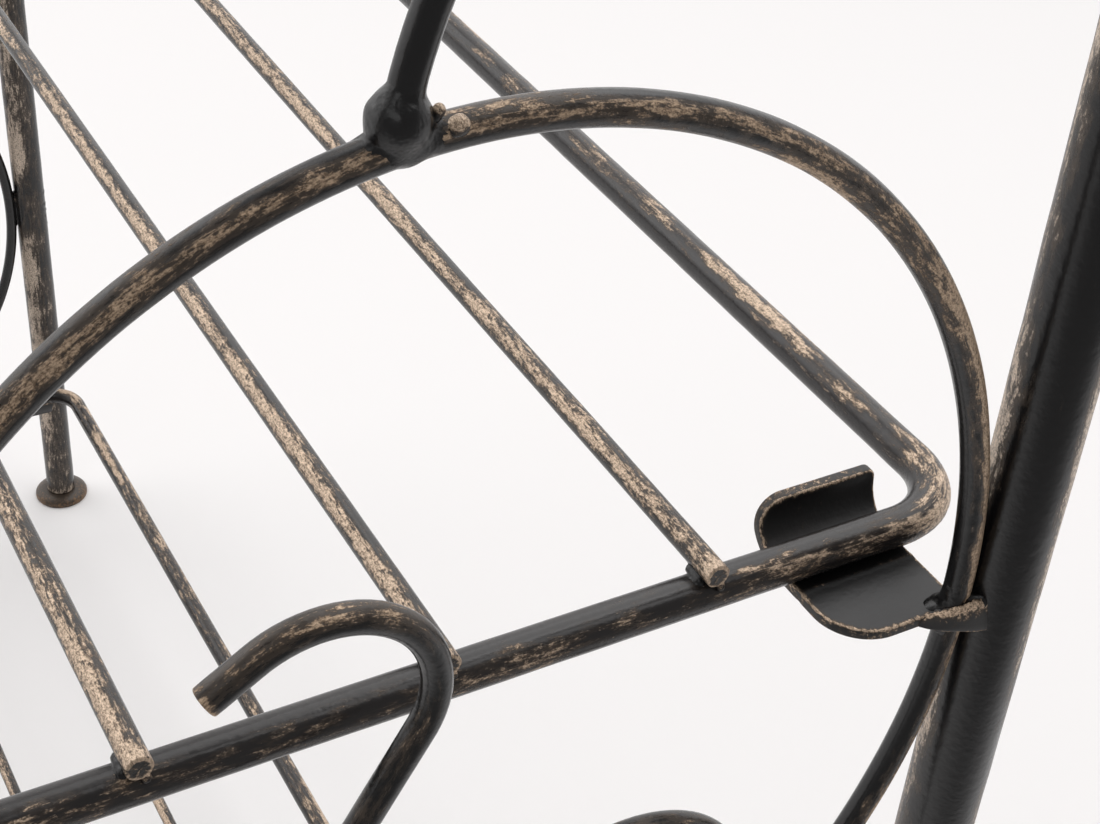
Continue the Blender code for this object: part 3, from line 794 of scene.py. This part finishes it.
# Two tables for an oval's band. The first is read by how far a place lies to the front, as a share
# of the half width, and gives the hand's lean: 1 is away from the oval's middle, -1 towards it. The
# second is read by how far a place lies to the back, and gives the band's strength.
lean_places, lean_shares = (0, 0.1, 0.3, 0.6, 0.8, 1), (0.9, 0.5, -1.1, -0.9, -0.1, 0.35)
strength_places = (-0.5, -0.25, -0.1, 0.05, 0.15, 0.5, 0.9)
strength_shares = (1, 0.72, 0.9, 0.75, 0.5, 0.74, 0.9)


def oval_rub(level, sign):
    """A band where the rod faces the hand, which comes from outside the panel and above, and a
    line along the rim furthest from the oval's middle. The band is strong on the upper half, but
    slips to the inner side between the crown and the front. The line is strongest beside the legs."""
    def from_middle(places, x, share):
        return np.column_stack([x + 0 * places[:, 0], share * places[:, 1] / oval_half_width,
                                share * (places[:, 2] - level) / oval_half_height])

    def rim(places):
        return from_middle(places, sign, 0.6)

    def hand(places):
        front = np.clip(-places[:, 1] / oval_half_width, 0, 1)
        return from_middle(places, sign * (0.35 + 0.6 * front), np.interp(front, lean_places, lean_shares))

    def field(at):
        height, back = at.middle[:, 2] - level, at.middle[:, 1] / oval_half_width
        upper = 0.55 + 0.45 * np.clip((height - 20 * MM) / (45 * MM), 0, 1)
        upper *= np.interp(back, strength_places, strength_shares)
        beside = 0.5 + 0.5 * hump(height, 24 * MM, 45 * MM)
        return np.maximum(toward(hand, 0.25, 0.60, 50 * MM, 0.35)(at) * upper[:, None],
                          toward(rim, 0.74, 1.4, 35 * MM, 0.15)(at) * beside[:, None])
    return field


for side, sign in sides.items():
    for tier, level in oval_levels.items():
        oval = rod(f"{side}_{tier}_oval_rod", oval_line(sign * panel_x, level), (1, 0, 0), rod_radius,
                   rod_sides, 2.2 * MM, oval_rub(level, sign), closed=True)
        dress(oval, "ornament", "frame", "rubbed_black", f"{side}_{tier}_oval")
print("oval", len(oval.data.polygons), "faces")

# %% Scrolls
crook_centre, crook_radius = np.array([24.6, 21.8]) * MM, 19.7 * MM
crook_end, crook_end_run = math.radians(57), 9.5 * MM
bowl_centre = np.array([-10.0, -62.0]) * MM
curl_radius, curl_sweep = 27 * MM, math.radians(205)
scroll_sink = 0.8 * MM


def scroll_line():
    """The crook's arc, the common inner tangent, the bowl's arc and the curl, as rows of (y, z)."""
    room = fit_gap + 2 * rod_radius - scroll_sink
    angle = np.linspace(0, 2 * math.pi, 721)
    wide, high = oval_half_width - room, oval_half_height - room
    inside = np.column_stack([wide * np.cos(angle), high * np.sin(angle)])
    bowl_radius = np.linalg.norm(inside - bowl_centre, axis=1).min()
    between = bowl_centre - crook_centre
    apart = np.linalg.norm(between)
    slope = math.atan2(between[1], between[0]) + math.asin((crook_radius + bowl_radius) / apart)
    top = arc(crook_centre, crook_radius, crook_end, slope + 1.5 * math.pi, 90)
    free_end = top[0] + crook_end_run * np.array([math.sin(crook_end), -math.cos(crook_end)])
    low = arc(bowl_centre, bowl_radius, slope + math.pi / 2, -math.pi, 120)
    curl_centre = bowl_centre + (curl_radius - bowl_radius, 0)
    curl = arc(curl_centre, curl_radius, -math.pi, -math.pi - curl_sweep, 90)
    return np.vstack([free_end, top, low, curl[1:]])


scroll_flat = scroll_line()
for side, sign in sides.items():
    for tier, level in oval_levels.items():
        line = in_panel(scroll_flat + (0, level), sign * panel_x)
        scroll = rod(f"{side}_{tier}_scroll_rod", line, (1, 0, 0), rod_radius, rod_sides, 1.8 * MM,
                     toward((sign * 0.45, 0.15, 1), reach=0.2, strength=0.50))
        dress(scroll, "ornament", "frame", "rubbed_black", f"{side}_{tier}_scroll")
print("scroll", round(float(np.linalg.norm(np.diff(scroll_flat, axis=0), axis=1).sum()), 3), "m of rod")

# %% Links
link_offset = 13.7 * MM
ball_radius = 4.6 * MM
ball_sink = 3.5 * MM
arch_top = arch_spring + post_y
ball_reach = rod_radius + ball_radius - ball_sink


def crown(y):
    """Height of an oval's middle line above its centre at a distance y from the middle."""
    return oval_half_height * math.sqrt(1 - (y / oval_half_width) ** 2)


def link_line(low, high):
    """Halfway between a straight line and a cosine, from one point of (y, z) to the other."""
    t = np.linspace(0, 1, 60)
    lean = (1 - 2 * t + np.cos(math.pi * t)) / 2
    middle, half = (low[0] + high[0]) / 2, (low[0] - high[0]) / 2
    return np.column_stack([middle + half * lean, low[1] + (high[1] - low[1]) * t])


tier_names = list(oval_levels)
link_radius = 2.5 * MM
link_ends = []
for side, sign in sides.items():
    x = sign * panel_x
    for number, tier in enumerate(tier_names):
        low = (link_offset, oval_levels[tier] + crown(link_offset) + ball_reach)
        if number + 1 < len(tier_names):
            high = (-link_offset, oval_levels[tier_names[number + 1]] - crown(link_offset) - ball_reach)
        else:
            drop_y = post_y - math.sqrt(post_y ** 2 - link_offset ** 2)
            high = (-link_offset, arch_top - drop_y - ball_reach + rod_radius - post_radius)
        flat = link_line(low, high)
        link = rod(f"{side}_{tier}_link_rod", in_panel(flat, x), (1, 0, 0), link_radius, rod_sides, 3 * MM,
                   toward((sign * 0.4, -0.5, 0.4), reach=0.3, strength=0.42))
        dress(link, "tube", "frame", "satin_black", f"{side}_{tier}_link")
        link_ends.append((f"{side}_{tier}_link", sign, flat))
print("link", len(link.data.polygons), "faces")

# %% [markdown]
# ## Shelves
#
# A frame is one bar bent to a rounded rectangle. Three rods lie on its end bars, and each end is
# welded down with a small dark bead on one side.

# %% Shelf frames
def frame_line(level):
    """A rectangle with rounded corners, walked round from the middle of its rear bar."""
    to_bend = np.array([shelf_end_x, shelf_depth / 2]) - bend_radius
    bends = [arc(to_bend * signs, bend_radius, start * math.pi, (start + 0.5) * math.pi, 40)
             for signs, start in (((-1, 1), 0.5), ((-1, -1), 1.0), ((1, -1), 1.5), ((1, 1), 0.0))]
    flat = np.vstack([(0, shelf_depth / 2), *bends]) + (0, shelf_middle_y)
    return np.column_stack([flat, np.full(len(flat), level)])


def outside_of_frame(places):
    """The hand's direction on a frame: up on the long bars, and well outwards on the end bars and
    at the bends."""
    to_bend = np.array([shelf_end_x, shelf_depth / 2]) - bend_radius
    flat = places[:, :2] - (0, shelf_middle_y)
    out = flat - np.clip(flat, -to_bend, to_bend)
    out /= np.maximum(np.linalg.norm(out, axis=1), 1e-9)[:, None]
    lean = 1.9 * out[:, 0] ** 2 - 0.23 * out[:, 1] ** 2 + 0.5 * np.abs(out[:, 0] * out[:, 1])
    return np.column_stack([out * lean[:, None], np.full(len(places), 0.87)])


def frame_edge(places):
    """The direction of a frame's outer edge, half upwards."""
    return outside_of_frame(places) * (1, 1, 0) + np.sign(places - places.mean(0)) * (0, 1, 0) + (0, 0, 0.7)


corner_reach = 24 * MM
streak_middle, streak_half = 270 * MM, 30 * MM
swell_share, swell_reach = 0.16, 9 * MM


def frame_rub(at):
    """The strongest of four bands: a faint one toward the hand, a wide one round the outside of the
    bends, a narrow streak near both ends of each long bar, and one along the outer edge."""
    from_middle = np.abs(at.middle[:, :2] - (0, shelf_middle_y))
    from_corner = np.linalg.norm(from_middle - (shelf_end_x, shelf_depth / 2), axis=1)
    corner = hump(from_corner, 0, corner_reach)[:, None]
    near_end = hump(from_middle[:, 0], streak_middle, streak_half, 4)[:, None]
    plain = toward(outside_of_frame, reach=0.2, strength=0.46, fade=45 * MM)(at)
    wide = toward(outside_of_frame, reach=-0.1, strength=1.05, vary=0.1)(at)
    streak = toward(outside_of_frame, reach=0.78, strength=0.92, vary=0.1)(at)
    edge = toward(frame_edge, reach=0.78, strength=0.60)(at)
    return np.maximum.reduce([plain * (1 - corner), wide * corner, streak * near_end, edge])


def bend_swell(middle, outward):
    """The bar flattens where it is bent: up to 16 % wider on the outside of a bend, and as much
    as the cosine to the outward diagonal."""
    corner = np.array([shelf_end_x, shelf_depth / 2]) - 0.3 * bend_radius
    flat = middle[:, :2] - (0, shelf_middle_y)
    near = hump(np.linalg.norm(np.abs(flat) - corner, axis=1), 0, swell_reach)
    diagonal = np.column_stack([np.sign(flat), 0 * near]) / math.sqrt(2)
    return swell_share * near[:, None] * np.clip(np.einsum("ijk,ik->ij", outward, diagonal), 0, 1)


for tier, level in shelf_levels.items():
    bar = rod(f"{tier}_shelf_bar", frame_line(level), (0, 0, 1), bar_radius, 28, 1.6 * MM, frame_rub,
              closed=True, swell=bend_swell)
    dress(bar, "bar", f"{tier}_shelf", "rubbed_black", f"{tier}_shelf_frame")
print("frame bar", len(bar.data.polygons), "faces")

# %% Shelf rods
rod_end_inset = 0.3 * MM
end_reach = 6 * MM


def thin_rod_rub(at):
    """A strong narrow band and a faint wide one, both toward the hand. The wide one is strong
    near the rod's ends."""
    near_end = hump(np.minimum(at.along, at.length - at.along), 0, end_reach)[:, None]
    band = toward((0, 0.67, 0.74), reach=0.64, strength=0.86, fade=70 * MM, vary=0.15)(at)
    wash = toward((0, 0.3, 0.95), reach=-0.4, strength=0.50, fade=30 * MM)(at)
    return np.maximum(band, wash * (1 + 0.6 * near_end))


for tier, level in shelf_levels.items():
    for number, y in enumerate(shelf_rod_places, 1):
        reach = shelf_end_x + bar_radius - rod_end_inset
        line = np.array([[-reach, y, level + shelf_rod_lift], [reach, y, level + shelf_rod_lift]])
        thin_rod = rod(f"{tier}_shelf_thin_rod_{number}", line, (0, 0, 1), shelf_rod_radius, rod_sides,
                       4 * MM, thin_rod_rub)
        dress(thin_rod, "rod", f"{tier}_shelf", "rubbed_black", f"{tier}_shelf_rod_{number}")
print("thin rod", len(thin_rod.data.polygons), "faces")

# %% [markdown]
# ## Hooks
#
# A hook is a strip of sheet metal, cut with rounded corners and bent: flat under the end bar,
# then curled up behind it. Sheet bends without stretching, so the easiest way is to draw the
# strip flat and then bend every point of it. Its flat outline is drawn once, inset step by step
# to a line down its middle, and the rings between are the grid. The same rings make the upper
# face, the rounded edge and the lower face.

# %% The flat strip
sheet = 2.4 * MM
sheet_edge = 0.45 * MM
hook_reach = 20 * MM
hook_near, hook_far = 8.6 * MM, 35.6 * MM
lip_start, lip_radius = 2.6 * MM, 9 * MM
lip_turn = math.radians(93)
strip_flat = hook_reach + lip_start
strip_length = strip_flat + lip_radius * lip_turn
near_flare = 1.3 * MM


def strip_outline(flare, stations=24, cap_points=110):
    """A rounded four-cornered outline of (s, v).

    The straight stretches of both long sides are cut at the same places, so that the rings meet
    in pairs on the middle line. The near side leans outwards by `flare` at the lip's end.
    """
    half = (hook_far - hook_near) / 2
    straight_s = np.linspace(half, strip_length - half, stations)

    def cap(middle_s, corners):
        line = np.vstack([arc((s - side_s * r, v - side_v * r), r, start, start + math.pi / 2, 24)
                          for (s, v), r, side_s, side_v, start in corners])
        line = np.vstack([[(middle_s, line[0, 1])], line, [(middle_s, line[-1, 1])]])
        steps = np.concatenate([[0], np.cumsum(np.linalg.norm(np.diff(line, axis=0), axis=1))])
        at = np.linspace(0, steps[-1], cap_points + 2)[1:-1]
        return np.column_stack([np.interp(at, steps, line[:, k]) for k in (0, 1)])

    caps = [cap(strip_length - half, [((strip_length, hook_near), 2.2 * MM, 1, -1, -math.pi / 2),
                                      ((strip_length, hook_far), 6 * MM, 1, 1, 0)]),
            cap(half, [((0, hook_far), 11 * MM, -1, 1, math.pi / 2),
                       ((0, hook_near), 1.0 * MM, -1, -1, math.pi)])]
    near = np.column_stack([straight_s, np.full(stations, hook_near)])
    far = np.column_stack([straight_s[::-1], np.full(stations, hook_far)])
    outline = np.vstack([near, caps[0], far, caps[1]])
    lean = np.clip((outline[:, 0] - strip_flat) / (strip_length - strip_flat), 0, 1) ** 1.5
    outline[:, 1] -= flare * lean * (hook_far - outline[:, 1]) / (hook_far - hook_near)
    return outline


def strip_rings(outline, face_steps):
    """Rings of (s, v, t) from the middle of the upper face, over the edge, to the middle below.

    An inner ring is a mix of the outline, drawn in by the edge's radius, and the nearest point of
    the middle line. t is the height above the face that the bar lies on: 0 there, -sheet below.
    """
    step = np.roll(outline, -1, 0) - np.roll(outline, 1, 0)
    inward = np.column_stack([-step[:, 1], step[:, 0]]) / np.linalg.norm(step, axis=1)[:, None]
    middle_v = (hook_near + hook_far) / 2
    half = middle_v - hook_near
    spine = np.column_stack([np.clip(outline[:, 0], half, strip_length - half),
                             np.full(len(outline), middle_v)])
    inset = outline + inward * sheet_edge
    share = np.linspace(1, 0, face_steps)[:, None, None]
    face = inset * (1 - share) + spine * share
    angle = np.linspace(math.pi / 2, 0, 5)[1:, None, None]
    edge = outline + inward * sheet_edge * (1 - np.cos(angle))
    edge_t = np.broadcast_to((sheet_edge * (np.sin(angle) - 1)), edge.shape[:2] + (1,))
    upper = np.concatenate([np.concatenate([face, np.zeros(face.shape[:2] + (1,))], -1),
                            np.concatenate([edge, edge_t], -1)])
    lower = upper[::-1] * (1, 1, -1) + (0, 0, -sheet)
    return np.concatenate([upper, lower])


crease_place, crease_width, crease_height = 15.6 * MM, 0.7 * MM, 0.16 * MM


def bend_strip(rings, sign, end, level):
    """Bends flat (s, v, t) round the end bar and puts it in its place on the panel.

    A low ridge stays where the press has held the strip. Before the lip, u = s - reach and
    z = bed + t. On the lip, the point turns about the lip's centre by (s - flat) / radius, at a
    distance of radius - t.
    """
    s, v, t = np.moveaxis(rings, -1, 0)
    t = t + crease_height * hump(s, crease_place, crease_width)
    bed = -(bar_radius + fit_gap)
    angle = np.maximum(s - strip_flat, 0) / lip_radius
    u = np.where(s < strip_flat, s - hook_reach, lip_start + (lip_radius - t) * np.sin(angle))
    z = np.where(s < strip_flat, bed + t, bed + lip_radius - (lip_radius - t) * np.cos(angle))
    return np.stack([sign * (shelf_end_x - u), end * (post_y - v), level + z], -1)


hook_outlines = {"front": strip_outline(near_flare), "rear": strip_outline(0)}
hook_grids = {end: strip_rings(outline, 16) for end, outline in hook_outlines.items()}
print("strip", round(strip_length, 4), "m long,", hook_grids["front"].shape, "grid")

# %% Hooks
def edge_rub(rings, outline):
    """Rub on a strip: most on the upper arris, some on the lower one and on the cut edge between
    them, and almost none on the faces. `gap` is the distance from the cut edge, seen flat."""
    gap = np.linalg.norm(rings[..., None, :2] - outline, axis=-1).min(-1)
    height = rings[..., 2]
    near_arris = hump(gap, 0.3 * sheet_edge, 0.55 * MM)
    upper = 0.86 * near_arris * hump(height, -0.2 * sheet_edge, 0.4 * MM)
    lower = 0.60 * near_arris * hump(height, 0.2 * sheet_edge - sheet, 0.4 * MM)
    wall = 0.36 * hump(gap, 0, 0.25 * MM)
    ridge = 0.40 * hump(rings[..., 0], crease_place, 0.5 * MM) * (height > -sheet / 2)
    return np.maximum.reduce([upper, lower, wall, ridge]) + 0.05


def merge_spine(piece):
    """Merges the points that fall together on the strip's middle line."""
    work = bmesh.new()
    work.from_mesh(piece.data)
    bmesh.ops.remove_doubles(work, verts=work.verts, dist=0.002 * MM)
    work.to_mesh(piece.data)
    work.free()


hook_rubs = {end: edge_rub(hook_grids[end], hook_outlines[end]) for end in ends}
for side, sign in sides.items():
    for tier, level in shelf_levels.items():
        for end, way in ends.items():
            piece = skin(f"{side}_{tier}_{end}_sheet_hook", bend_strip(hook_grids[end], sign, way, level),
                         hook_grids[end], hook_rubs[end], fans=False)
            merge_spine(piece)
            dress(piece, "sheet", "frame", "satin_black", f"{side}_{tier}_{end}_hook")
print("hook", len(piece.data.polygons), "faces")

# %% [markdown]
# ## Welds
#
# A drop of weld fills the corner between the pieces that it joins. Its surface is where a soft
# union of a few short round bars is zero. The pieces themselves are among those bars, a little
# thinner than they are, so that the drop runs out on them without an edge.

# %% Drops of weld
def drop(name, centre, bars, body="frame", slot="satin_black", soften=1.2 * MM, rub=0.15, rough=0.04,
         size=2.2 * MM, rings=34, sides=42):
    """A drop seen from a centre inside it. Each bar is (start, stop, radius).

    The distance to bar k is d_k = |p - nearest point of its middle line| - radius. The soft union
    is d = -w log(sum(exp(-d_k / w))), with w the width of its fillets. Each point starts at the
    centre and walks along its own ray by -d until d is 0.
    """
    start, stop = (np.array([bar[k] for bar in bars], float) for k in (0, 1))
    radii = np.array([bar[2] for bar in bars])
    step = stop - start
    squared = np.maximum((step ** 2).sum(-1), 1e-12)
    down = np.linspace(0, math.pi, rings + 2)[1:-1, None]
    around = np.linspace(0, 2 * math.pi, sides, endpoint=False)[None]
    unit = np.stack([np.sin(down) * np.cos(around), np.sin(down) * np.sin(around),
                     np.cos(down) + 0 * around], -1)
    centre, reach = np.array(centre, float), np.zeros((rings, sides))
    for _ in range(40):
        points = centre + unit * reach[..., None]
        from_start = points[..., None, :] - start
        share = np.clip((from_start * step).sum(-1) / squared, 0, 1)
        apart = np.linalg.norm(from_start - share[..., None] * step, axis=-1) - radii
        reach += soften * np.log(np.exp(-apart / soften).sum(-1))
    points = centre + unit * (reach * (1 + rough * lumps(points, size)))[..., None]
    facing = np.clip(unit[..., 2] * 0.6 + 0.5, 0, 1)
    return dress(skin(name, points, points - centre, rub * facing), "weld", body, slot)


def smooth_line(corners, steps=14):
    """A smooth line through a few points: Catmull-Rom, where each stretch is a cubic whose
    direction at a point is that from the point before to the point after."""
    c = np.array(corners, float)
    c = np.vstack([2 * c[0] - c[1], c, 2 * c[-1] - c[-2]])
    t = np.linspace(0, 1, steps, endpoint=False)[:, None, None]
    a, b, d, e = c[:-3], c[1:-2], c[2:-1], c[3:]
    square, cube = 2 * a - 5 * b + 4 * d - e, 3 * b - a - 3 * d + e
    line = (2 * b + (d - a) * t + square * t ** 2 + cube * t ** 3) / 2
    return np.vstack([line.transpose(1, 0, 2).reshape(-1, 3), c[-2]])


def at_hook(local, sign, way, level):
    """Places given in millimetres from the crossing of a shelf's end bar and long bar: along the
    shelf outwards, across it inwards, and up."""
    out, across, up = np.atleast_2d(local).T * MM
    return np.column_stack([sign * (shelf_end_x + out), way * (-shelf_front_y - across), level + up])


def tongue(name, corners, place, sides=40):
    """A wall of weld between four lines, given as outer top, outer bottom, inner bottom and inner
    top. Its section is a rounded four-sided figure: a point at angle a mixes the four corners by
    (1 + p)(1 + q) / 4, where (p, q) is a rounded square."""
    lines = [smooth_line(corner) for corner in corners]
    angle = np.linspace(0, 2 * math.pi, sides, endpoint=False)
    power = 0.45
    p = np.sign(np.cos(angle)) * np.abs(np.cos(angle)) ** power
    q = np.sign(np.sin(angle)) * np.abs(np.sin(angle)) ** power
    weights = [(1 + p) * (1 + q) / 4, (1 + p) * (1 - q) / 4, (1 - p) * (1 - q) / 4, (1 - p) * (1 + q) / 4]
    local = sum(weight[None, :, None] * line[:, None] for weight, line in zip(weights, lines))
    upper = np.clip(q, 0, 1)[None]
    local = local + upper[..., None] * np.array([0, 0, 0.22]) * lumps(local * MM, 1.1 * MM)[..., None]
    rings = np.stack([place(ring) for ring in local])
    rub = 0.20 + 0.88 * hump(angle, 0.82, 0.74, 4) + 0.62 * hump(angle, 5.35, 0.25)
    rub = rub[None] * (1 + 0.15 * lumps(rings, 2 * MM))
    return dress(skin(name, rings, local * MM, rub), "wall", "frame", "satin_black")


# In millimetres as in at_hook. The tongue's four lines go from the hook's outer edge, past the
# outside of the oval's rod, to the leg. The pool's bars are (start, stop, radius).
tongue_lines = [
    [(19.4, 23.8, -4.5), (20.7, 21.6, -3.7), (22.3, 20.0, -2.3),
     (23.5, 17.8, -1.1), (24.2, 14.8, -0.4), (24.1, 11.6, -0.7)],
    [(20.3, 24.6, -6.5), (21.8, 22.9, -6.7), (23.4, 20.2, -7.0),
     (24.5, 17.4, -7.3), (25.2, 14.4, -7.9), (25.6, 10.6, -8.4)],
    [(18.8, 22.6, -6.5), (19.6, 21.2, -6.7), (20.6, 18.4, -7.0),
     (21.4, 15.6, -7.3), (22.0, 12.6, -7.9), (22.6, 9.8, -8.4)],
    [(18.6, 22.2, -4.8), (19.4, 20.4, -3.9), (20.8, 18.2, -2.4),
     (21.8, 15.6, -1.3), (22.0, 13.0, -0.9), (22.0, 11.0, -1.2)]]
pool_middle = (20, 17, -4.4)
pool_bars = [((20, 17.0, -9.0), (20, 16.9, 1.5), 2.62), ((17.9, 19.8, -6.6), (18.6, 18.4, -5.6), 2.9),
             ((16.9, 17.6, -5.2), (17.6, 14.4, -4.8), 1.2), ((21.2, 16.0, -3.0), (22.8, 12.8, -1.8), 1.6),
             ((20.8, 13.5, -6.0), (22.0, 12.0, -3.0), 1.6)]
for side, sign in sides.items():
    for tier, level in shelf_levels.items():
        for end, way in ends.items():
            place = partial(at_hook, sign=sign, way=way, level=level)
            tongue(f"{side}_{tier}_{end}_hook_tongue", tongue_lines, place)
            bars = [(place(start)[0], place(stop)[0], radius * MM) for start, stop, radius in pool_bars]
            drop(f"{side}_{tier}_{end}_hook_pool", place(pool_middle)[0], bars, soften=0.7 * MM, rub=0.2)
print("hook welds", len(pool_bars), "bars in a pool")

# %% Knobs of the links
oval_part, post_part = rod_radius - 0.12 * MM, post_radius - 0.15 * MM
knob_radius = 4.5 * MM
# Each drop of spatter: out of the panel, to the back, up from the oval's rod, and its radius.
spatter = np.array([(1.6, -7.8, 2.2, 1.5), (1.3, -5.0, 4.8, 0.9)]) * MM


def near_oval(x, level, y, up, half=7 * MM):
    """Two short bars that follow an oval's rod on both sides of y, above or below its middle."""
    places = [(x, y + k * half, level + up * crown(y + k * half)) for k in (-1, 0, 1)]
    return [(places[0], places[1], oval_part), (places[1], places[2], oval_part)]


def near_arch(x, y, half=12 * MM):
    """One short bar that follows the arch of a hoop on both sides of y."""
    start, stop = [(x, at, arch_spring + math.sqrt(post_y ** 2 - at ** 2)) for at in (y - half, y + half)]
    return [(start, stop, post_part)]


for name, sign, flat in link_ends:
    x = sign * panel_x
    balls = (("foot", flat[0], flat[6], 1), ("head", flat[-1], flat[-7], -1))
    for label, (y, z), inner_place, up in balls:
        ball = (x, y, z)
        if label == "head" and "top" in name:
            bars = near_arch(x, y)
        else:
            bars = near_oval(x, z - up * (crown(y) + ball_reach), y, up)
        bars += [(ball, ball, knob_radius), (ball, (x, *inner_place), link_radius - 0.1 * MM),
                 ((x, y, z - up * 1.5 * MM), (x, y - 3 * MM, z - up * 3 * MM), 2.4 * MM)]
        drop(f"{name}_{label}_knob", ball, bars, soften=0.5 * MM, rub=0.1, rough=0.025, size=4 * MM,
             rings=44, sides=52)
    seat = np.array([x, flat[0][0], flat[0][1] - ball_reach])
    for number, (*offset, radius) in enumerate(spatter, 1):
        away = np.array(offset) * (sign, 1, 1)
        bar = (seat + away, seat + away * (0.8, 0.9, 0.8), radius)
        drop(f"{name}_spatter_{number}", bar[0], [bar], soften=0.3 * MM, rub=1.2, rings=14, sides=20)
print("knobs", 2 * len(link_ends))

# %% Welds of ovals and scrolls
from_centre = np.linalg.norm(scroll_flat / (oval_half_width, oval_half_height), axis=1)
scroll_seat = scroll_flat[np.argmax(from_centre)]
toward_oval = scroll_seat / np.linalg.norm(scroll_seat)
along_seat = np.array([-toward_oval[1], toward_oval[0]])
seam_middle = scroll_seat + toward_oval * rod_radius
seat_bars = [(scroll_seat - 5 * MM * along_seat, scroll_seat, oval_part),
             (scroll_seat + 5 * MM * along_seat, scroll_seat, oval_part),
             (seam_middle - 4 * MM * along_seat, seam_middle + 4 * MM * along_seat, 2.6 * MM)]
touch_y = oval_half_width + rod_radius


def upright_bar(x, y, level, half, radius):
    """A bar that stands at (x, y) and reaches `half` below and above a level."""
    return (x, y, level - half), (x, y, level + half), radius


for side, sign in sides.items():
    x = sign * panel_x
    for tier, level in oval_levels.items():
        bars = [((x, *(start + (0, level))), (x, *(stop + (0, level))), radius)
                for start, stop, radius in seat_bars]
        drop(f"{side}_{tier}_scroll_weld", (x, seam_middle[0], seam_middle[1] + level), bars, rub=0.3)
        if tier == "middle":
            continue
        for end, way in ends.items():
            bars = [upright_bar(x, way * oval_half_width, level, 9 * MM, oval_part),
                    upright_bar(x, way * post_y, level, 9 * MM, post_part),
                    upright_bar(x + sign * 1.6 * MM, way * touch_y, level, 6 * MM, 1.9 * MM)]
            drop(f"{side}_{tier}_{end}_oval_weld", (x + sign * 0.8 * MM, way * touch_y, level), bars,
                 soften=0.6 * MM, rub=0.35)
print("scroll seat", np.round(scroll_seat * 1000, 1))

# %% Welds of the shelf rods
for tier, level in shelf_levels.items():
    for number, y in enumerate(shelf_rod_places, 1):
        for side, sign in sides.items():
            def at_end(out, across, up):
                return (sign * (shelf_end_x + out * MM), y + across * MM, level + up * MM)

            axis = shelf_rod_lift / MM
            bars = [(at_end(-5, 0, axis), at_end(0.6, 0, axis), 2.3 * MM),
                    (at_end(0, -1.5, 0), at_end(0, 5, 0), 3.8 * MM),
                    (at_end(-2.4, 2.2, 4.2), at_end(1.0, 2.2, 3.9), 0.8 * MM)]
            drop(f"{tier}_{side}_rod_weld_{number}", at_end(-0.5, 1.6, 4.6), bars, f"{tier}_shelf",
                 "rubbed_black", soften=0.3 * MM, rub=0.12, rings=26, sides=34)
            drip = (at_end(2.5, -0.9, 4.0), at_end(3.0, -1.1, 3.2), 0.95 * MM)
            drop(f"{tier}_{side}_rod_drip_{number}", at_end(2.8, -1, 3.6), [drip], f"{tier}_shelf",
                 "rubbed_black", soften=0.3 * MM, rub=1.1, rough=0.1, rings=16, sides=22)
print("welds of rods", len(shelf_rod_places) * 6)

# %% [markdown]
# ## Rails across the back
#
# Two bars with flattened, drilled ends are screwed to the rear legs. They keep the loose panels
# upright.

# %% Rails
rail_levels = [(shelf_levels["bottom"] + shelf_levels["middle"]) / 2,
               (shelf_levels["middle"] + shelf_levels["top"]) / 2]
rail_radius = 4 * MM
flattening = 6 * MM
tab_half, tab_half_depth, tab_length = 7 * MM, 1.25 * MM, 22 * MM
rail_half = panel_x + tab_half
rail_y = post_y + post_radius + fit_gap + tab_half_depth
fine_stretch, coarse_from = 30 * MM, 34 * MM
screw_head, screw_dome, screw_shaft, screw_length = 4.5 * MM, 2.8 * MM, 2.5 * MM, 10 * MM


def rail_section(t, angle):
    """The section of a rail at a share t from its round middle (0) to its flat end (1)."""
    high = rail_radius + (tab_half - rail_radius) * t
    deep = rail_radius + (tab_half_depth - rail_radius) * t
    return deep * np.cos(angle), high * np.sin(angle)


x = np.concatenate([np.linspace(-rail_half, fine_stretch - rail_half, 40),
                    np.linspace(coarse_from - rail_half, rail_half - coarse_from, 60),
                    np.linspace(rail_half - fine_stretch, rail_half, 40)])
angle = np.linspace(0, 2 * math.pi, 32, endpoint=False)
t = np.clip((np.abs(x) - (rail_half - tab_half - tab_length)) / flattening, 0, 1)
t = t * t * (3 - 2 * t)
deep, high = rail_section(t[:, None], angle[None])
past = np.clip((np.abs(x) - panel_x) / tab_half, 0, 1)
high = high * np.sqrt(np.maximum(1 - past ** 2, 0.002))[:, None]
rail_rub = 0.45 * np.clip(np.sin(angle), 0, 1)
screw_profile = [(screw_head * math.sin(a), screw_dome * math.cos(a))
                 for a in np.linspace(0.02, math.pi / 2, 12)]
screw_profile += [(screw_head - 0.1 * MM, -0.2 * MM), (screw_shaft, -0.25 * MM),
                  (screw_shaft, -screw_length)]

for number, level in enumerate(rail_levels, 1):
    rings = np.stack([np.broadcast_to(x[:, None], deep.shape), rail_y + deep, level + high], -1)
    straight = np.stack([rings[..., 0], deep, high], -1)
    rail = skin(f"rear_rail_bar_{number}", rings, straight, rail_rub)
    dress(rail, "bar", "frame", "satin_black", f"rear_rail_{number}")
    for side, sign in sides.items():
        screw = turned(f"rear_rail_{number}_{side}_domed_screw", screw_profile,
                       (sign * panel_x, rail_y + tab_half_depth + fit_gap, level), (0, 1, 0), 32,
                       np.full(len(screw_profile), 0.3))
        dress(screw, "screw", "frame", "screw_metal", f"rear_rail_{number}_{side}_screw")
print("rails", len(rail_levels))

# %% [markdown]
# ## The finished unit
#
# The visual model's box is printed.

# %% The finished unit
low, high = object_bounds()
print("visual box", tuple(round(v, 4) for v in high - low))
